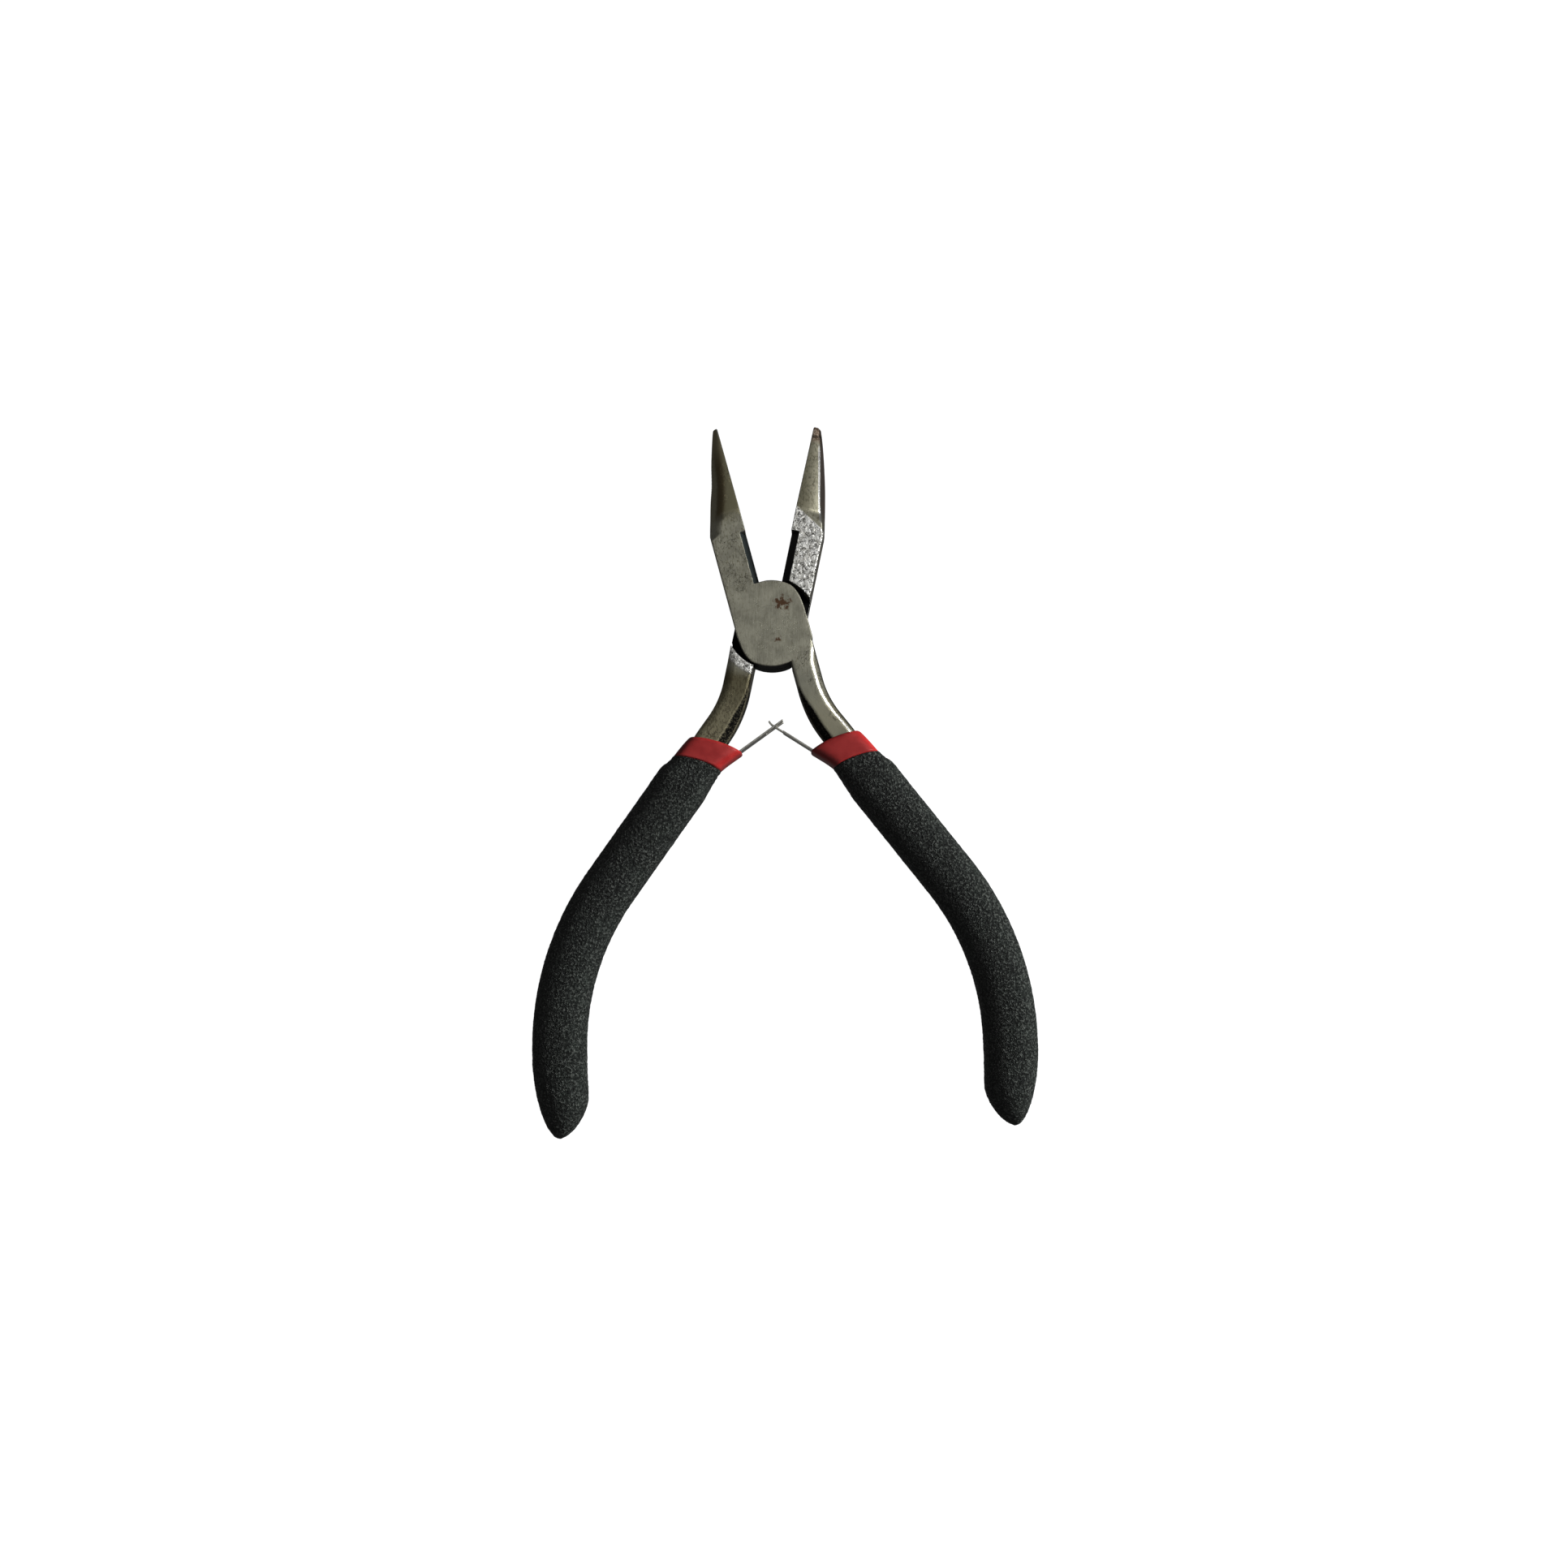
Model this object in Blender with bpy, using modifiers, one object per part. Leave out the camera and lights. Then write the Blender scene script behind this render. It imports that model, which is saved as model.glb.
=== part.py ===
"""Mini long-nose pliers for jewellery making, with a side cutter and a double-leaf return spring.

Two forged levers cross in a lap joint on a flush rivet. Each tang carries a red collar sleeve under
a soft black grip. A leaf spring is riveted to the inside of each tang; the tongue of one leaf passes
through the fork of the other and pushes the handles apart.

Frame: the origin is on the rivet's axis, on the flat back face of the joint. +Z points out of the
front face, +Y along the tool towards the jaws, +X to the right. The pliers stand open at rest.

Both halves are drawn alike, in the pose where the jaws are shut: the jaw lies at x < 0 with its
gripping face on x = 0, and its handle at x > 0. The back half is the same drawing turned half a turn
about the tool's long axis. Sizes below are in millimetres and degrees.
"""

import math

import bmesh
import bpy
from mathutils import Matrix, Vector

MM = 0.001

# Lap joint
JOINT_THICKNESS = 8.4
LAP_GAP = 0.1
BOSS_RADIUS = 7.6
BOSS_HALF_WIDTH = 6.35
BOSS_CORNER = 1.6
POCKET_CLEARANCE = 0.4
OPEN_ANGLE = 26.8

# Rivet
RIVET_RADIUS = 2.0
RIVET_HEAD_RADIUS = 2.9
RIVET_HEAD_DEPTH = 1.2
RIVET_CLEARANCE = 0.05

# Jaws
JAW_LENGTH = {"front": 36.9, "back": 36.5}
JAW_WIDTH = {"front": 6.4, "back": 5.8}
JAW_TIP_WIDTH = {"front": 0.9, "back": 1.5}
JAW_TIP_HALF_DEPTH = 1.2
JAW_FACE_GAP = 0.1
NOSE_START = 17.0
NOSE_FULL_ROUND = 21.2
NOSE_FLAT = 0.08
NOSE_FULLNESS = 0.95
BODY_EDGE = 0.45

# Side cutter
CUTTER_WIDTH = {"front": 1.0, "back": 1.4}
CUTTER_LENGTH = 9.4
CUTTER_EDGE = 0.3

# Centreline of a handle: down from the boss, bending outwards, straight, then bowing back inwards
SHANK_X = 3.45
SHANK_TOP = -4.6
SHANK_STRAIGHT = 7.2
NECK_RADIUS = 19.4
NECK_TURN = 23.3
HANDLE_STRAIGHT = 33.8
BOW_RADIUS = 47.7
BOW_TURN = 38.9
HANDLE_END_STRAIGHT = 13.0
COLLAR_AT = 17.8

# Shank and tang: half widths towards the inside and the outside of the bow, and half depth
SHANK_HALF_WIDTH = (1.95, 2.7)
SHANK_HALF_DEPTH = JOINT_THICKNESS / 2
COLLAR_HALF_WIDTH = (2.45, 2.85)
COLLAR_HALF_DEPTH = 3.5
TANG_INNER = 1.75
TANG_OUTER = 2.2
TANG_HALF_DEPTH = 2.9
TANG_TAPER_LENGTH = 10.0
TANG_CLEAR_OF_END = 9.5
SHANK_INNER_BEVEL = 1.7
SHANK_OUTER_BEVEL = 0.9

# Sleeve and grip
FIT_GAP = 0.2
SLEEVE_WALL = 0.7
SLEEVE_LIP_WALL = 0.4
SLEEVE_RIM_WALL = 0.35
SLEEVE_CLEAR_OF_END = 5.0
SLEEVE_TOP = 0.64
SLEEVE_SKEW = 16.4
COLLAR_HEIGHT = 4.3
GRIP_WALL = 1.35
GRIP_RIM_WALL = 0.45
GRIP_RIM_SKEW = 17.7
GRIP_RIM_LENGTH = 5.0
GRIP_END_LENGTH = 8.0
SECTION_POINTS = 28
CAVITY_SQUARENESS = 5.0
SLEEVE_SQUARENESS = 4.0
GRIP_SQUARENESS = 2.6

# Leaf springs
SPRING_THICKNESS = 0.3
SPRING_WIDTH = 4.0
LEAF_EXIT = (-0.9, 5.0)
LEAF_REST_ANGLE = 34.2
LEAF_LENGTH = 9.6
FORK_START = 5.9
FORK_SLOT = 2.0
TONGUE_START = 6.1
TONGUE_WIDTH = 1.3
TONGUE_LENGTH = 8.2
TONGUE_CURL = (0.8, 30.0)
ROOT_END = 11.0
ROOT_LIFTS_FROM = 5.0
FLEX_GAP = 0.15
SPRING_RIVET_AT = 8.6
SPRING_RIVET_RADIUS = 0.7
SPRING_RIVET_LENGTH = 1.5

HALF_OPEN = math.radians(OPEN_ANGLE / 2)
MID_DEPTH = JOINT_THICKNESS / 2
POCKET_RADIUS = BOSS_RADIUS + POCKET_CLEARANCE
ROUTE_PIECES = (
    (SHANK_STRAIGHT, 0.0),
    (NECK_RADIUS * math.radians(NECK_TURN), math.radians(NECK_TURN)),
    (HANDLE_STRAIGHT, 0.0),
    (BOW_RADIUS * math.radians(BOW_TURN), -math.radians(BOW_TURN)),
    (HANDLE_END_STRAIGHT, 0.0),
)
HANDLE_END = sum(length for length, _ in ROUTE_PIECES) - COLLAR_AT


def start_collections():
    for obj in list(bpy.data.objects):
        bpy.data.objects.remove(obj)
    parts = bpy.data.collections.new("long_nose_pliers")
    cutters = bpy.data.collections.new("cutters")
    for collection in (parts, cutters):
        bpy.context.scene.collection.children.link(collection)
    return parts, cutters


PARTS, CUTTERS = start_collections()


def make_material(name, colour, roughness, metallic):
    material = bpy.data.materials.new(name)
    material.use_nodes = True
    shader = material.node_tree.nodes["Principled BSDF"]
    shader.inputs["Base Color"].default_value = (*colour, 1.0)
    shader.inputs["Roughness"].default_value = roughness
    shader.inputs["Metallic"].default_value = metallic
    return material


def add_object(name, bm, parent, material=None):
    """Links the bmesh, in millimetres, as a part, or as a hidden cutter when it has no material."""
    bmesh.ops.recalc_face_normals(bm, faces=bm.faces)
    bmesh.ops.scale(bm, vec=(MM, MM, MM), verts=bm.verts)
    mesh = bpy.data.meshes.new(name)
    bm.to_mesh(mesh)
    bm.free()
    obj = bpy.data.objects.new(name, mesh)
    (PARTS if material else CUTTERS).objects.link(obj)
    obj.parent = parent
    if material:
        mesh.materials.append(material)
        mesh.shade_smooth()
        mesh.set_sharp_from_angle(angle=math.radians(35))
    else:
        obj.hide_render = True
        obj.display_type = "WIRE"
    return obj


def combine(obj, other, operation):
    modifier = obj.modifiers.new(f"{operation.lower()} {other.name}", "BOOLEAN")
    modifier.operation = operation
    modifier.object = other


def loft(*ring_sets):
    """A closed surface through rings of points. A second set is a cavity that shares the first rim."""
    bm = bmesh.new()
    grids = [[[bm.verts.new(point) for point in ring] for ring in rings] for rings in ring_sets]
    for grid in grids:
        for ring, following in zip(grid, grid[1:]):
            bridge(bm, ring, following)
        bm.faces.new(grid[-1])
    if len(grids) == 2:
        bridge(bm, grids[0][0], grids[1][0])
    else:
        bm.faces.new(grids[0][0])
    return bm


def bridge(bm, ring, following):
    for i, point in enumerate(ring):
        j = (i + 1) % len(ring)
        bm.faces.new((point, ring[j], following[j], following[i]))


def prism(outline, low, high):
    """An outline in the XY plane, extruded from one height to the other."""
    bm = bmesh.new()
    face = bm.faces.new([bm.verts.new((x, y, low)) for x, y in outline])
    raised = bmesh.ops.extrude_face_region(bm, geom=[face])["geom"]
    verts = [v for v in raised if isinstance(v, bmesh.types.BMVert)]
    bmesh.ops.translate(bm, vec=(0, 0, high - low), verts=verts)
    return bm


def box(low, high):
    bm = bmesh.new()
    low, high = Vector(low), Vector(high)
    size = high - low
    place = Matrix.Translation((low + high) / 2) @ Matrix.Diagonal((*size, 1))
    bmesh.ops.create_cube(bm, size=1, matrix=place)
    return bm


def turned(name, profile, parent, material=None, steps=48):
    """A profile of (radius, height) points, from the top down, turned about the Z axis."""
    bm = bmesh.new()
    verts = [bm.verts.new((radius, 0, height)) for radius, height in profile]
    for a, b in zip(verts, verts[1:]):
        bm.edges.new((a, b))
    obj = add_object(name, bm, parent, material)
    screw = obj.modifiers.new("turn", "SCREW")
    screw.steps = steps
    screw.render_steps = steps
    screw.use_merge_vertices = True
    screw.merge_threshold = 0.00001
    screw.use_smooth_shade = True
    return obj


def smoothstep(value, low, high):
    t = min(max((value - low) / (high - low), 0.0), 1.0)
    return t * t * (3 - 2 * t)


def mix(a, b, t):
    return a + (b - a) * t


def spread(low, high, count):
    return [mix(low, high, i / (count - 1)) for i in range(count)]


def route(along):
    """(point, direction, outward normal) at a distance along the handle, measured from its collar."""
    distance = along + COLLAR_AT
    point = Vector((SHANK_X, SHANK_TOP))
    heading = 0.0
    for index, (length, turn) in enumerate(ROUTE_PIECES):
        last = index == len(ROUTE_PIECES) - 1
        step = distance if last else max(min(distance, length), min(distance, 0.0))
        swept = turn * step / length
        chord = step if not turn else step * math.sin(swept / 2) / (swept / 2) if swept else 0.0
        middle = heading + swept / 2
        point = point + chord * Vector((math.sin(middle), -math.cos(middle)))
        heading += swept
        distance -= step
        if distance <= 0:
            break
    direction = Vector((math.sin(heading), -math.cos(heading)))
    outward = Vector((math.cos(heading), math.sin(heading)))
    return point, direction, outward


def handle_point(along, offset):
    """A point in the handle's plane; a positive offset is towards the outside of the bow."""
    point, _, outward = route(along)
    return point + offset * outward


def place_section(along, section, skew=0.0):
    """Puts (offset, depth) points across the handle. A skewed section runs lower on its outer side."""
    point, direction, outward = route(along)
    lean = math.tan(math.radians(skew))
    ring = []
    for offset, depth in section:
        flat = point + offset * outward + offset * lean * direction
        ring.append((flat.x, flat.y, MID_DEPTH + depth))
    return ring


def oval(inner, outer, half_depth, power):
    """A rounded section, (offset, depth) points round it; power 2 is an ellipse."""
    centre, half = (outer - inner) / 2, (outer + inner) / 2
    points = []
    for i in range(SECTION_POINTS):
        angle = 2 * math.pi * i / SECTION_POINTS
        c, s = math.cos(angle), math.sin(angle)
        offset = centre + half * math.copysign(abs(c) ** (2 / power), c)
        points.append((offset, half_depth * math.copysign(abs(s) ** (2 / power), s)))
    return points


def bevelled(inner, outer, half_depth, inner_bevel, outer_bevel):
    """An oblong section with its four corners bevelled."""
    inside, outside = half_depth - inner_bevel, half_depth - outer_bevel
    upper = [
        (outer, outside),
        (outer - outer_bevel, half_depth),
        (inner_bevel - inner, half_depth),
        (-inner, inside),
    ]
    return upper + [(offset, -depth) for offset, depth in reversed(upper)]


def tang_half_sizes(along):
    """(inner, outer, half depth) of the steel under the sleeve and above it."""
    if along < 0:
        grown = smoothstep(along, -11.0, 0.0)
        inner, outer = (mix(*halves, grown) for halves in zip(SHANK_HALF_WIDTH, COLLAR_HALF_WIDTH))
        return inner, outer, mix(SHANK_HALF_DEPTH, COLLAR_HALF_DEPTH, grown)
    thinned = smoothstep(along, 0.0, TANG_TAPER_LENGTH)
    return (
        mix(COLLAR_HALF_WIDTH[0], TANG_INNER, thinned),
        mix(COLLAR_HALF_WIDTH[1], TANG_OUTER, thinned),
        mix(COLLAR_HALF_DEPTH, TANG_HALF_DEPTH, thinned),
    )


def root_offset(along):
    """How far the middle of the spring's root lies inside the handle's centreline."""
    on_tang = tang_half_sizes(along)[0] + FIT_GAP + SPRING_THICKNESS / 2
    lifted = max(ROOT_LIFTS_FROM - along, 0.0) / (ROOT_LIFTS_FROM - LEAF_EXIT[0])
    exit_on_tang = tang_half_sizes(LEAF_EXIT[0])[0] + FIT_GAP + SPRING_THICKNESS / 2
    return on_tang + (LEAF_EXIT[1] - exit_on_tang) * lifted**1.5


def layer(along, outside=0.0, shrink=1.0):
    """Section sizes of a cavity round tang and spring, and with outside, of a skin over it."""
    inner, outer, half_depth = tang_half_sizes(along)
    inner = max(inner, root_offset(along) + SPRING_THICKNESS / 2)
    return [
        shrink * (inner + FIT_GAP + outside),
        shrink * (outer + FIT_GAP + outside),
        shrink * (half_depth + FIT_GAP + outside),
    ]


def closing_end(end, outside, power, start):
    """Rings that round off a closed end: (distance before it, share of the full section)."""
    rounding = ((start, 1.0), (start * 0.55, 0.9), (start * 0.25, 0.7), (start * 0.07, 0.43), (0.0, 0.22))
    return [
        place_section(end - before, oval(*layer(end - before, outside, share), power))
        for before, share in rounding
    ]


def sleeve_rings():
    """(outer, cavity) rings of the sleeve, with a slanted top edge that has a lip over the spring."""
    outer, cavity = [], []
    rows = (
        (0.0, SLEEVE_RIM_WALL, SLEEVE_LIP_WALL),
        (1.2, SLEEVE_WALL, SLEEVE_WALL),
        (COLLAR_HEIGHT, SLEEVE_WALL, SLEEVE_WALL),
    )
    for depth_down, wall, lip_wall in rows:
        skew = mix(SLEEVE_SKEW, GRIP_RIM_SKEW, depth_down / COLLAR_HEIGHT)
        along = SLEEVE_TOP + depth_down
        outer.append(skewed_layer(along, wall, skew, SLEEVE_SQUARENESS, lip_wall))
        cavity.append(skewed_layer(along, 0.0, skew, CAVITY_SQUARENESS))
    end = HANDLE_END - SLEEVE_CLEAR_OF_END
    inner_end = end - SLEEVE_WALL
    start = SLEEVE_TOP + COLLAR_HEIGHT + 3.2
    for along in [start, start + 3.0] + spread(start + 8.0, end - 6.0, 11):
        outer.append(place_section(along, oval(*layer(along, SLEEVE_WALL), SLEEVE_SQUARENESS)))
        cavity.append(place_section(along, oval(*layer(along), CAVITY_SQUARENESS)))
    outer += closing_end(end, SLEEVE_WALL, SLEEVE_SQUARENESS, 3.2)
    cavity += closing_end(inner_end, 0.0, CAVITY_SQUARENESS, 2.4)
    return outer, cavity


def skewed_layer(along, outside, skew, power, inner_outside=None):
    """A slanted ring whose inner side reads its sizes where that side really lies."""
    lean = math.tan(math.radians(skew))
    over_inner = outside if inner_outside is None else inner_outside
    inner = layer(along - layer(along)[0] * lean, over_inner)[0]
    _, outer, half_depth = layer(along, outside)
    return place_section(along, oval(inner, outer, half_depth, power), skew)


def grip_rings():
    """(outer, cavity) rings of the soft grip, thin at its rim and with a rounded closed end."""
    rim = SLEEVE_TOP + COLLAR_HEIGHT
    over_sleeve = SLEEVE_WALL + FIT_GAP
    outer = [skewed_layer(rim, over_sleeve + GRIP_RIM_WALL, GRIP_RIM_SKEW, 3.5)]
    cavity = [skewed_layer(rim, over_sleeve, GRIP_RIM_SKEW, SLEEVE_SQUARENESS)]
    cavity_end = HANDLE_END - SLEEVE_CLEAR_OF_END + FIT_GAP + 0.4
    for along in [rim + 3.2, rim + 6.2] + spread(rim + 11.2, HANDLE_END - GRIP_END_LENGTH - 1.5, 11):
        wall = mix(GRIP_RIM_WALL, GRIP_WALL, smoothstep(along, rim, rim + GRIP_RIM_LENGTH))
        power = mix(3.5, GRIP_SQUARENESS, smoothstep(along, rim, rim + 2 * GRIP_RIM_LENGTH))
        outer.append(place_section(along, oval(*layer(along, over_sleeve + wall), power)))
        cavity.append(place_section(along, oval(*layer(along, over_sleeve), SLEEVE_SQUARENESS)))
    outer += closing_end(HANDLE_END, over_sleeve + GRIP_WALL, GRIP_SQUARENESS, GRIP_END_LENGTH)
    cavity += closing_end(cavity_end, over_sleeve, SLEEVE_SQUARENESS, 3.2)
    return outer, cavity


def jaw_section(side, y):
    """Half of a rounded bar: flat on the gripping face, from a square bar to a half-round nose."""
    length, width, tip = JAW_LENGTH[side], JAW_WIDTH[side], JAW_TIP_WIDTH[side]
    rounded = smoothstep(y, NOSE_START, NOSE_FULL_ROUND)
    taper = min(max((y - NOSE_START - 1.0) / (length - NOSE_START - 1.0), 0.0), 1.0)
    reach = mix(tip, width, (1 - taper) ** NOSE_FULLNESS)
    narrow = min(max((y - NOSE_FULL_ROUND) / (length - NOSE_FULL_ROUND), 0.0), 1.0)
    half_depth = mix(MID_DEPTH, JAW_TIP_HALF_DEPTH, narrow)
    corner_out = mix(BODY_EDGE, reach - JAW_FACE_GAP - NOSE_FLAT, rounded**2)
    corner_deep = mix(BODY_EDGE, half_depth - NOSE_FLAT, rounded)
    upper = []
    for angle in spread(0.0, math.pi / 2, 8):
        out = reach - corner_out + corner_out * math.cos(angle)
        deep = half_depth - corner_deep + corner_deep * math.sin(angle)
        upper.append((out, deep))
    upper.append((JAW_FACE_GAP, half_depth))
    lower = [(out, -deep) for out, deep in reversed(upper)]
    return [(-out, y, MID_DEPTH + deep) for out, deep in upper + lower]


def jaw_solid(side):
    length = JAW_LENGTH[side]
    stations = [1.0, NOSE_START] + spread(NOSE_START + 1.0, NOSE_FULL_ROUND, 5)
    stations += spread(NOSE_FULL_ROUND + 2.5, length, 5)
    return loft([jaw_section(side, y) for y in stations])


def shank_solid():
    """The shank below the boss and the tang that the sleeve covers."""
    rings = []
    top = -COLLAR_AT
    stations = [top, top + 4.0] + spread(-11.0, 0.0, 9) + spread(1.5, TANG_TAPER_LENGTH, 5)
    end = HANDLE_END - TANG_CLEAR_OF_END
    stations += spread(TANG_TAPER_LENGTH + 8.0, end - 1.0, 10)
    for along in stations:
        inner, outer, half_depth = tang_half_sizes(along)
        worn = smoothstep(along, -11.0, -1.0)
        slimmed = 1 - 0.45 * smoothstep(along, 0.0, TANG_TAPER_LENGTH)
        inner_bevel = mix(0.3, SHANK_INNER_BEVEL, worn) * slimmed
        outer_bevel = mix(0.3, SHANK_OUTER_BEVEL, worn)
        rings.append(place_section(along, bevelled(inner, outer, half_depth, inner_bevel, outer_bevel)))
    inner, outer, half_depth = tang_half_sizes(end)
    blunt = bevelled(inner * 0.6, outer * 0.6, half_depth * 0.6, 0.4, 0.4)
    rings.append(place_section(end, blunt))
    return loft(rings)


def boss_solid(side):
    """The half-thick plate of the lap joint: a disc between two flats, its corners rounded off.

    The flat on the jaw's side stands no further out than the jaw.
    """
    jaw_flat = min(BOSS_HALF_WIDTH, JAW_WIDTH[side])
    first = math.acos(BOSS_HALF_WIDTH / BOSS_RADIUS)
    last = math.pi - math.acos(jaw_flat / BOSS_RADIUS)
    arc = [
        (BOSS_RADIUS * math.cos(angle), BOSS_RADIUS * math.sin(angle))
        for angle in spread(first, last, 17)
    ]
    outline = arc + [(x, -y) for x, y in reversed(arc)]
    bm = prism(outline, MID_DEPTH + LAP_GAP / 2, JOINT_THICKNESS)
    corners = [
        edge
        for edge in bm.edges
        if abs(edge.verts[0].co.z - edge.verts[1].co.z) > LAP_GAP
        and min(abs(edge.verts[0].co.x - x) for x in (-jaw_flat, BOSS_HALF_WIDTH)) < 1e-4
        and edge.verts[0].co.x * edge.verts[0].co.y > 0
    ]
    bmesh.ops.bevel(bm, geom=corners, offset=BOSS_CORNER, segments=4, profile=0.5, affect="EDGES")
    return bm


def pocket_solid():
    """The round space behind the boss in which the other half's boss turns."""
    bm = bmesh.new()
    high = MID_DEPTH + LAP_GAP / 2
    depth = high + 2.0
    bmesh.ops.create_cone(
        bm,
        cap_ends=True,
        segments=72,
        radius1=POCKET_RADIUS,
        radius2=POCKET_RADIUS,
        depth=depth,
        matrix=Matrix.Translation((0, 0, high - depth / 2)),
    )
    return bm


def cutter_notch(side):
    """The two bevels that leave a cutting edge half-way through the jaw."""
    width = CUTTER_WIDTH[side] + JAW_FACE_GAP
    beyond = 1.0
    section = [
        (beyond, -beyond),
        (beyond, JOINT_THICKNESS + beyond),
        (-width, JOINT_THICKNESS + beyond),
        (-width, JOINT_THICKNESS),
        (-JAW_FACE_GAP, MID_DEPTH + CUTTER_EDGE / 2),
        (-JAW_FACE_GAP, MID_DEPTH - CUTTER_EDGE / 2),
        (-width, 0.0),
        (-width, -beyond),
    ]
    start = math.sqrt(BOSS_RADIUS**2 - width**2) + 0.02
    bm = prism(section, start, start + CUTTER_LENGTH)
    turn = Matrix(((1, 0, 0), (0, 0, 1), (0, 1, 0)))
    bmesh.ops.transform(bm, matrix=turn.to_4x4(), verts=bm.verts)
    return bm


def rivet_profile(clearance=0.0):
    """From the top down: a shaft with a countersunk head flush with each face of the joint."""
    shaft, head = RIVET_RADIUS + clearance, RIVET_HEAD_RADIUS + clearance
    depth, over = RIVET_HEAD_DEPTH, 1.0 if clearance else 0.0
    upper = [(0, JOINT_THICKNESS + over), (head, JOINT_THICKNESS + over)]
    if clearance:
        upper.append((head, JOINT_THICKNESS))
    upper.append((shaft, JOINT_THICKNESS - depth))
    return upper + [(radius, JOINT_THICKNESS - height) for radius, height in reversed(upper)]


def strip(path, low, high):
    """A strip of spring steel that follows a path in the XY plane, from one height to the other."""
    left, right = [], []
    for i, point in enumerate(path):
        before, after = path[max(i - 1, 0)], path[min(i + 1, len(path) - 1)]
        ahead = (after - before).normalized()
        across = Vector((-ahead.y, ahead.x)) * SPRING_THICKNESS / 2
        left.append(point + across)
        right.append(point - across)
    return prism(left + right[::-1], low, high)


def leaf_direction():
    """The leaf's way out of the sleeve at rest, in the half's own drawing."""
    angle = math.pi - math.radians(LEAF_REST_ANGLE) - HALF_OPEN
    return Vector((math.cos(angle), math.sin(angle)))


def leaf_hinge():
    along, offset = LEAF_EXIT
    return handle_point(along, -offset)


def add_lever(name, side, parent, material):
    lever = add_object(name, boss_solid(side), parent, material)
    for what, solid, operation in (
        ("jaw", jaw_solid(side), "UNION"),
        ("shank", shank_solid(), "UNION"),
        ("pocket", pocket_solid(), "DIFFERENCE"),
        ("cutter_notch", cutter_notch(side), "DIFFERENCE"),
    ):
        combine(lever, add_object(f"{name}_{what}", solid, parent), operation)
    bore = turned(f"{name}_rivet_bore", rivet_profile(RIVET_CLEARANCE), parent)
    combine(lever, bore, "DIFFERENCE")
    place, normal = spring_rivet_place()
    hole = spring_rivet_solid(place, normal, RIVET_CLEARANCE, with_head=False)
    combine(lever, add_object(f"{name}_spring_rivet_hole", hole, parent), "DIFFERENCE")
    return lever


def spring_rivet_place():
    """The middle of the root's outer face where the rivet goes in, and the way it goes in."""
    _, _, outward = route(SPRING_RIVET_AT)
    place = handle_point(SPRING_RIVET_AT, -root_offset(SPRING_RIVET_AT) - SPRING_THICKNESS / 2)
    return place, outward


def spring_rivet_solid(place, outward, clearance, with_head=True):
    length = SPRING_THICKNESS + FIT_GAP + SPRING_RIVET_LENGTH + clearance
    across = Matrix.Rotation(math.atan2(outward.y, outward.x), 4, "Z") @ Matrix.Rotation(math.pi / 2, 4, "Y")
    start = 0.0 if with_head else -0.5
    middle = place + outward * (length + start) / 2
    bm = bmesh.new()
    bmesh.ops.create_cone(
        bm,
        cap_ends=True,
        segments=16,
        radius1=SPRING_RIVET_RADIUS + clearance,
        radius2=SPRING_RIVET_RADIUS + clearance,
        depth=length - start,
        matrix=Matrix.Translation((middle.x, middle.y, MID_DEPTH)) @ across,
    )
    return bm


def add_spring(side, name, parent, leaf_parent, material):
    """The root under the sleeve, the rivet that holds it, and the free leaf on its own empty."""
    low, high = MID_DEPTH - SPRING_WIDTH / 2, MID_DEPTH + SPRING_WIDTH / 2
    root_path = [handle_point(a, -root_offset(a)) for a in spread(ROOT_END, LEAF_EXIT[0] + FLEX_GAP, 12)]
    root = add_object(f"spring_root_{name}", strip(root_path, low, high), parent, material)
    place, outward = spring_rivet_place()
    hole = spring_rivet_solid(place, outward, RIVET_CLEARANCE, with_head=False)
    combine(root, add_object(f"spring_root_{name}_hole", hole, parent), "DIFFERENCE")
    rivet = spring_rivet_solid(place, outward, 0.0)
    add_object(f"spring_rivet_{name}", rivet, parent, material)

    ahead = leaf_direction()
    across = Vector((ahead.y, -ahead.x))
    reach = LEAF_LENGTH if side == "back" else TONGUE_LENGTH
    path = [ahead * distance for distance in spread(FLEX_GAP, reach, 5)]
    if side == "front":
        length, bend = TONGUE_CURL
        turn = math.radians(bend)
        path.append(path[-1] + length * (ahead * math.cos(turn) + across * math.sin(turn)))
    leaf = add_object(f"spring_leaf_{name}", strip(path, low, high), leaf_parent, material)
    facing = Matrix.Rotation(math.atan2(ahead.y, ahead.x), 4, "Z")
    if side == "back":
        slots = [((FORK_START, -2.0, MID_DEPTH - FORK_SLOT / 2), (12.0, 2.0, MID_DEPTH + FORK_SLOT / 2))]
    else:
        half = TONGUE_WIDTH / 2
        slots = [
            ((TONGUE_START, -2.0, low - 1.0), (12.0, 2.0, MID_DEPTH - half)),
            ((TONGUE_START, -2.0, MID_DEPTH + half), (12.0, 2.0, high + 1.0)),
        ]
    for number, (lowest, highest) in enumerate(slots):
        bm = box(lowest, highest)
        bmesh.ops.transform(bm, matrix=facing, verts=bm.verts)
        combine(leaf, add_object(f"spring_leaf_{name}_slot_{number}", bm, leaf_parent), "DIFFERENCE")
    return leaf


def add_empty(name, parent, matrix):
    empty = bpy.data.objects.new(name, None)
    PARTS.objects.link(empty)
    empty.empty_display_size = 0.005
    empty.parent = parent
    empty.matrix_local = matrix
    return empty


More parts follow.
